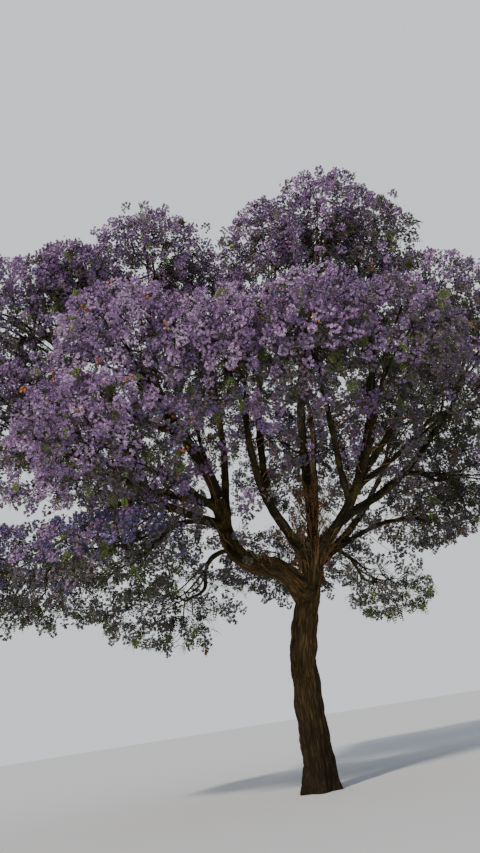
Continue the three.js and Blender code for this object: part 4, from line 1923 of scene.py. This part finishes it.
    def build(self, effects: EffectGroups) -> None:
        """Builds the shoots as one piece.

        Args:
            effects: The shared effects of the finishes.
        """
        finish = self.FINISH.build(effects)
        seat(mesh_piece("shoots", *self.bundle.arrays(self.random), finish))


class Blossom:
    """The flowers of every panicle, dealt out among the tints."""

    FLOWERS = 18
    PETALS = 5
    LEAST_FULL = 0.6
    PETAL_HALF_TURN = 0.52
    FLOWER_LENGTH = 0.056
    MOUTH = 0.033
    WIDTH = 0.105
    SUN = unit(np.array([-0.45, -0.62, 0.64]))
    BRIGHTEST = np.array([-2.6, -3.6, 8.2])
    BRIGHT_SIZE = np.array([3.0, 3.0, 3.2])
    BLUE_MASSES = ("left_low", "far_left_low")
    BLUE_ABOVE = 4.6
    DUSKY_BELOW = 5.6
    STEPS = (
        (0.95, Tint.PALE), (0.58, Tint.LILAC), (0.2, Tint.BRIGHT), (-0.14, Tint.VIOLET),
        (-0.45, Tint.MAUVE), (-0.8, Tint.DUSK), (-np.inf, Tint.SHADE),
    )
    STRAY_SHARES = (0.14, 0.72, 0.14)
    TURN_STRAY = 0.3
    GIRTHS = (0.75, 1.25)
    CONE = 0.6
    FILLED = (0.5, 1.0)
    LEAN_STRAY = 0.25
    LEAN_ALONG = 0.5
    LEAN_DOWN = 0.25
    SIZES = (0.8, 1.25)
    BLUE_SHARE = 0.45
    SUN_WEIGHT = 0.35
    BLOOM_WEIGHT = 1.1
    BLOOM_LEVEL = 0.98
    BRIGHTEST_WEIGHT = 0.65
    PATCH_WEIGHT = 0.25
    TINT_STRAY = 0.28
    SHARE_LEVEL = 0.9
    MIDDLE = -1
    MIDDLE_HALF = 3
    SIDE_DUSK = 0.2
    SIDE_DUSK_MOST = 1.3
    LOW_DUSK = 0.6

    def __init__(self, panicles: list[tuple[str, Spray]], crown: Crown, random: np.random.Generator) -> None:
        """Notes the panicles.

        Args:
            panicles: Each panicle's mass and place.
            crown: The spaces of all the masses.
            random: The stream of random numbers.
        """
        self.panicles, self.crown, self.random = panicles, crown, random

    def flowers(self) -> tuple[Array, Array, Array]:
        """Where each flower sits and points: in a loose cone, wide at its foot and narrow at its tip.

        Returns:
            The flowers' feet, directions and sizes, with one row for each panicle.
        """
        count = len(self.panicles)
        base = np.array([spray.base for _, spray in self.panicles])[:, None]
        axis = np.array([spray.axis for _, spray in self.panicles])
        first, second = (side[:, None] for side in square_to(axis))
        axis = axis[:, None]
        share = (np.arange(self.FLOWERS) + self.random.random((count, self.FLOWERS))) / self.FLOWERS
        angle = np.arange(self.FLOWERS) * GOLDEN_TURN + self.random.random((count, 1)) * 2 * math.pi
        angle = angle + self.random.normal(0, self.TURN_STRAY, angle.shape)
        girth = self.WIDTH * self.random.uniform(*self.GIRTHS, (count, 1))
        spread = girth * (1 - share) ** self.CONE * self.random.uniform(*self.FILLED, share.shape)
        out = np.cos(angle)[..., None] * first + np.sin(angle)[..., None] * second
        feet = base + axis * (PANICLES.length * share)[..., None] + out * spread[..., None]
        stray = self.random.normal(0, self.LEAN_STRAY, feet.shape)
        lean = stray + axis * self.LEAN_ALONG - UP * self.LEAN_DOWN
        return feet, unit(out + lean), self.random.uniform(*self.SIZES, share.shape)

    def tints(self) -> Array:
        """The tint of each flower: its panicle's own, or now and then a neighbouring one.

        Returns:
            The tints' numbers, with one row for each panicle.
        """
        order = list(Tint)
        own = [order.index(self.panicle_tint(mass, spray)) for mass, spray in self.panicles]
        main = np.array(own)[:, None]
        stray = self.random.choice([-1, 0, 1], (len(main), self.FLOWERS), p=self.STRAY_SHARES)
        return np.clip(main + stray, 0, len(order) - 1)

    def panicle_tint(self, mass: str, spray: Spray) -> Tint:
        """The tint of one panicle: painted sunlight and painted shade, by how it faces the sun and where it
        lies in the crown.

        Args:
            mass: The mass that it belongs to.
            spray: Its place.

        Returns:
            The tint.
        """
        blue = mass in self.BLUE_MASSES and spray.tip[2] > self.BLUE_ABOVE
        if blue and self.random.random() < self.BLUE_SHARE:
            return Tint.BLUE
        # Painted sunlight: paler where the panicle faces the sun, lies on the crown's sunlit outside or
        # outermost shell, and near the brightest spot at the front left; the ripple adds random patches.
        brightest = math.exp(-float(np.sum(((spray.tip - self.BRIGHTEST) / self.BRIGHT_SIZE) ** 2)))
        lit = self.SUN_WEIGHT * float(spray.outward @ self.SUN)
        lit += self.BLOOM_WEIGHT * (spray.bloom - self.BLOOM_LEVEL)
        lit += self.BRIGHTEST_WEIGHT * brightest
        lit += self.PATCH_WEIGHT * float(self.crown.ripple(spray.tip))
        lit += self.random.normal(0, self.TINT_STRAY) + (spray.share - self.SHARE_LEVEL)
        # Painted shade: darker towards both sides of the crown and low down.
        aside = (abs(spray.tip[0] - self.MIDDLE) - self.MIDDLE_HALF) / self.MIDDLE_HALF
        lit -= self.SIDE_DUSK * float(np.clip(aside, 0, self.SIDE_DUSK_MOST))
        lit -= self.LOW_DUSK * float(np.clip(self.DUSKY_BELOW - spray.tip[2], 0, 1))
        return next(tint for least, tint in self.STEPS if lit > least)

    def build(self) -> None:
        """Builds the flowers as one joined piece for each tint."""
        feet, direction, size = (values.reshape(-1, *values.shape[2:]) for values in self.flowers())
        tint = self.tints()
        bloom = np.array([spray.bloom for _, spray in self.panicles])[:, None]
        fullness = self.LEAST_FULL + (1 - self.LEAST_FULL) * bloom
        tint = np.where(self.random.random(tint.shape) > fullness, -1, tint).ravel()
        first, second = square_to(direction)
        turn = np.arange(self.PETALS) * 2 * math.pi / self.PETALS
        rim = np.stack([turn - self.PETAL_HALF_TURN, turn + self.PETAL_HALF_TURN], axis=1).ravel()
        rim = rim + self.random.random((len(feet), 1)) * 2 * math.pi
        mouth = np.cos(rim)[..., None] * first[:, None] + np.sin(rim)[..., None] * second[:, None]
        reach = direction[:, None] * self.FLOWER_LENGTH + mouth * self.MOUTH
        corners = feet[:, None] + reach * size[:, None, None]
        vertices = np.concatenate([feet[:, None], corners], axis=1)
        petal = np.array([[0, 1 + 2 * i, 2 + 2 * i] for i in range(self.PETALS)])
        for number, kind in enumerate(Tint):
            chosen = vertices[tint == number]
            faces = petal[None] + np.arange(len(chosen))[:, None, None] * chosen.shape[1]
            spots, petals = chosen.reshape(-1, 3), faces.reshape(-1, 3)
            seat(mesh_piece(kind.value.name, spots, petals, kind.value.build()))


class Foliage:
    """Feathery leaves: a thin rib with pairs of narrow leaflets, in three greens."""

    PAIRS = 5
    LENGTH = 0.27
    LEAFLET = 0.075
    LEAFLET_WIDTH = 0.026
    LEAFLET_WAY = (0.42, 0.9, -0.12)
    DROOP = 0.1
    RIB_HALF = 0.003
    FIRST_PAIR = 1.2
    PAST_PAIRS = 0.6
    SIZES = (0.75, 1.2)
    STRAY = 0.7
    HANG = 0.15
    TILT = 0.35
    IN_TUFT = 3
    DARK_BELOW = 0.45
    OUTER_SHARE = 0.9
    FRESH_SCALE = 1.7
    FRESH_ABOVE = 1.0
    FRESH_LIFT = 0.06
    FRESH_IN_TUFT = 4
    SINGLE_CHANCE = 0.6
    DULL_CHANCE = 0.5
    SHOOT_CHANCE = 0.05

    def __init__(self, crown: Crown, random: np.random.Generator) -> None:
        """Starts with no leaves.

        Args:
            crown: The spaces of all the masses.
            random: The stream of random numbers.
        """
        self.crown, self.random = crown, random
        self.places: dict[Green, list[tuple[Array, Array]]] = {green: [] for green in Green}

    def tuft(self, green: Green, foot: Array, direction: Array, count: int) -> None:
        """Notes a few leaves that leave one spot.

        Args:
            green: Their tint.
            foot: The spot.
            direction: The way that the twig points.
            count: How many leaves there are.
        """
        for _ in range(count):
            way = unit(direction + self.random.normal(0, self.STRAY, 3) - UP * self.HANG)
            self.places[green].append((foot, way))

    def is_fresh(self, spray: Spray) -> bool:
        """Whether a twig lies on the outside, where fresh leaves show.

        Args:
            spray: The place at the twig's end.

        Returns:
            True where it does.
        """
        if spray.share <= self.OUTER_SHARE:
            return False
        return bool(self.crown.ripple(spray.tip * self.FRESH_SCALE) > self.FRESH_ABOVE)

    def dress_twigs(self, twigs: list[tuple[Dress, Spray]]) -> None:
        """Deals leaves out: tufts for the leafy twigs, grey-green as painted shade where the crown is shaded,
        fresh ones here and there, and single ones.

        Args:
            twigs: What each twig bears, and its place.
        """
        for dress, spray in twigs:
            if dress is Dress.LEAVES:
                # Painted shade: leafy twigs with little sun get the grey-green.
                green = Green.DARK if spray.bloom < self.DARK_BELOW else Green.DULL
                self.tuft(green, spray.base, spray.axis, self.IN_TUFT)
            elif self.is_fresh(spray):
                foot = spray.base + spray.outward * self.FRESH_LIFT
                self.tuft(Green.FRESH, foot, spray.axis, self.FRESH_IN_TUFT)
            elif self.random.random() < self.SINGLE_CHANCE:
                green = Green.DULL if self.random.random() < self.DULL_CHANCE else Green.DARK
                self.tuft(green, spray.base, spray.axis, 1)

    def dress_shoots(self, tips: list[tuple[Array, Array]]) -> None:
        """Puts a single leaf on a few of the shoots' tips.

        Args:
            tips: Each tip and its direction.
        """
        for tip, direction in tips:
            if self.random.random() < self.SHOOT_CHANCE:
                self.tuft(Green.DULL, tip, direction, 1)

    def leaf(self) -> Array:
        """The corners of one leaf's leaflets, along +X with its face up.

        Returns:
            The corners, four to a leaflet.
        """
        quads = []
        for i in range(self.PAIRS):
            share = (i + self.FIRST_PAIR) / (self.PAIRS + self.PAST_PAIRS)
            size = math.sin(math.pi * min(0.96, 0.25 + 0.7 * share)) ** 0.7
            for side in (-1, 1):
                root = np.array([share * self.LENGTH, 0, -self.DROOP * share**2])
                way = np.array(self.LEAFLET_WAY) * (1, side, 1)
                tip = root + way * self.LEAFLET * size
                wide = np.array([1, 0, 0]) * self.LEAFLET_WIDTH * size
                middle = root + (tip - root) * 0.5
                quads.append([root, middle - wide, tip, middle + wide][::side])
        rib_end = np.array([self.LENGTH, 0, -self.DROOP])
        half = rib_end / 2 + np.array([0, 0, self.DROOP / 4])
        aside = np.array([0, self.RIB_HALF, 0])
        quads.append([np.zeros(3), half + aside, rib_end, half - aside])
        return np.array(quads)

    def build(self) -> None:
        """Builds the leaves as one joined piece for each green."""
        leaf = self.leaf()
        for green, places in self.places.items():
            feet, ways = (np.array([place[i] for place in places]) for i in (0, 1))
            side = unit(np.cross(UP, ways) + self.random.normal(0, self.TILT, ways.shape))
            side = unit(side - ways * (side * ways).sum(1, keepdims=True))
            turns = np.stack([ways, side, np.cross(ways, side)], axis=1)
            sizes = self.random.uniform(*self.SIZES, (len(feet), 1, 1, 1))
            spots = np.einsum("qci,nij->nqcj", leaf, turns) * sizes + feet[:, None, None]
            faces = np.arange(spots.shape[0] * spots.shape[1] * 4).reshape(-1, 4)
            seat(mesh_piece(green.value.name, spots.reshape(-1, 3), faces, green.value.build()))


class Pods:
    """Round flat woody pods, hanging in small bunches."""

    BUNCHES = 130
    IN_BUNCH = (3, 7)
    RADIUS = 0.036
    THICKNESS = 0.008
    RIM = 8
    FLATTENED = 0.9
    OUTER_SHARE = 0.9
    LIFT = 0.04
    SCATTER = 0.05
    SIZES = (0.8, 1.2)
    FINISH = TwigFinish("dry_pods", linear(190, 118, 48), linear(126, 80, 38), 0.1)

    def __init__(self, sprays: list[Spray], random: np.random.Generator) -> None:
        """Picks the sprays that carry pods.

        Args:
            sprays: The sprays to pick from.
            random: The stream of random numbers.
        """
        self.random = random
        outer = [spray for spray in sprays if spray.share > self.OUTER_SHARE]
        self.chosen = [outer[i] for i in random.choice(len(outer), self.BUNCHES, replace=False)]

    def build(self, effects: EffectGroups) -> None:
        """Builds the pods as one piece.

        Args:
            effects: The shared effects of the finishes.
        """
        turn = np.arange(self.RIM) * 2 * math.pi / self.RIM
        rim = np.stack([np.cos(turn), 0 * turn, np.sin(turn) * self.FLATTENED], axis=1) * self.RADIUS
        poles = np.array([[0, -self.THICKNESS, 0], [0, self.THICKNESS, 0]])
        pod = np.vstack([rim, poles])
        after = (np.arange(self.RIM) + 1) % self.RIM
        here = np.arange(self.RIM)
        front = np.stack([here, after, np.full(self.RIM, self.RIM)], axis=1)
        back = np.stack([after, here, np.full(self.RIM, self.RIM + 1)], axis=1)
        faces = np.vstack([front, back])
        spots, rows = [], []
        for spray in self.chosen:
            for _ in range(self.random.integers(*self.IN_BUNCH)):
                turned = pod @ np.array(Matrix.Rotation(self.random.uniform(0, math.pi), 3, "Z")).T
                shift = spray.tip + spray.outward * self.LIFT + self.random.normal(0, self.SCATTER, 3)
                rows.append(faces + len(spots) * len(pod))
                spots.append(turned * self.random.uniform(*self.SIZES) + shift)
        finish = self.FINISH.build(effects)
        seat(mesh_piece("pods", np.vstack(spots), np.vstack(rows), finish))


class Studio:
    """The plain floor, soft light and camera."""

    LENS = 26.61
    EYE = (-0.4816, -15.0, 1.45)
    PITCH = math.radians(25.1)
    ROLL = math.radians(-9.06)
    FLOOR = 900.0
    SUN_FROM = (-0.5, -0.68, 0.54)
    BACKDROP = (0.86, 0.89, 0.92, 1)
    SKY_LIGHT = (0.80, 0.88, 1.0, 1)
    SUN_STRENGTH = 3.4
    SUN_WIDTH = math.radians(5)
    SUN_COLOUR = (1.0, 0.90, 0.78)
    SENSOR = 36
    SEES_TO = 1500

    def build(self) -> None:
        """Sets up the floor, the lights and the camera."""
        self.floor()
        self.surround()
        self.sun()
        self.camera()

    def floor(self) -> None:
        """The wide pale floor."""
        mesh = bpy.data.meshes.new("floor")
        plate = bmesh.new()
        bmesh.ops.create_grid(plate, x_segments=1, y_segments=1, size=self.FLOOR / 2)
        plate.to_mesh(mesh)
        plate.free()
        mesh.materials.append(PlainFinish("floor_pale", (0.69, 0.7, 0.71), 0.95).build())
        linked("floor", mesh)

    def surround(self) -> None:
        """A pale backdrop, and a cooler, weaker light that falls from all sides."""
        world = bpy.data.worlds.new("surround")
        world.use_nodes = True
        sheet = NodeSheet(world.node_tree)
        seen = sheet.add("ShaderNodeLightPath", {}).outputs["Is Camera Ray"]
        background = world.node_tree.nodes["Background"]
        sheet.feed(background.inputs["Color"], sheet.mixed(seen, self.SKY_LIGHT, self.BACKDROP))
        strength = sheet.add("ShaderNodeMapRange", {"Value": seen, "To Min": 0.55, "To Max": 1.0})
        sheet.feed(background.inputs["Strength"], strength.outputs["Result"])
        bpy.context.scene.world = world

    def sun(self) -> None:
        """A warm soft sun from the front left."""
        light = bpy.data.lights.new("sun", "SUN")
        light.energy = self.SUN_STRENGTH
        light.angle = self.SUN_WIDTH
        light.color = self.SUN_COLOUR
        lamp = bpy.data.objects.new("sun", light)
        lamp.rotation_euler = Vector(self.SUN_FROM).to_track_quat("Z", "Y").to_euler()
        bpy.context.scene.collection.objects.link(lamp)

    def camera(self) -> None:
        """A camera at standing eye height, looking up and tilted."""
        lens = bpy.data.cameras.new("camera")
        lens.lens = self.LENS
        lens.sensor_width = self.SENSOR
        lens.clip_end = self.SEES_TO
        camera = bpy.data.objects.new("camera", lens)
        turn = Matrix.Rotation(math.pi / 2 + self.PITCH, 4, "X") @ Matrix.Rotation(self.ROLL, 4, "Z")
        camera.matrix_world = Matrix.Translation(self.EYE) @ turn
        bpy.context.scene.collection.objects.link(camera)
        bpy.context.scene.camera = camera


def main() -> None:
    """Builds the tree and its studio."""
    logging.basicConfig(level=logging.INFO, format="%(message)s")
    # Without a seed of its own, noise_vector takes one from the clock.
    noise.seed_set(SEED)
    random = np.random.default_rng(SEED)
    skeleton, crown, effects = Skeleton(), Crown(CROWN), EffectGroups()
    masses = [Mass(index, row, skeleton, crown) for index, row in enumerate(CROWN)]
    for mass in masses:
        mass.branch_out()
    LimbWork(skeleton, masses, effects).build()
    SideLimbs(masses).build(SIDE_BARK, SIDE_RELIEF, effects)
    TwigWork(masses).build(effects, random)
    shoots = ShootWork(skeleton, crown, random)
    shoots.build(effects)
    forks = [(mass.row.mass, fork) for mass in masses for fork in mass.forks if fork.load and fork.spray]
    panicles = [(name, fork.spray) for name, fork in forks if fork.dress is Dress.BLOOM]
    panicles += [("boughs", spray) for spray in shoots.sprays]
    LOG.info("%d twigs and %d panicles, %d on side branches", len(forks), len(panicles), len(shoots.sprays))
    foliage = Foliage(crown, random)
    foliage.dress_twigs([(fork.dress, fork.spray) for _, fork in forks])
    foliage.dress_shoots(shoots.tips)
    foliage.build()
    Blossom(panicles, crown, random).build()
    Pods([spray for _, spray in panicles], random).build(effects)
    Studio().build()


if __name__ == "__main__":
    main()
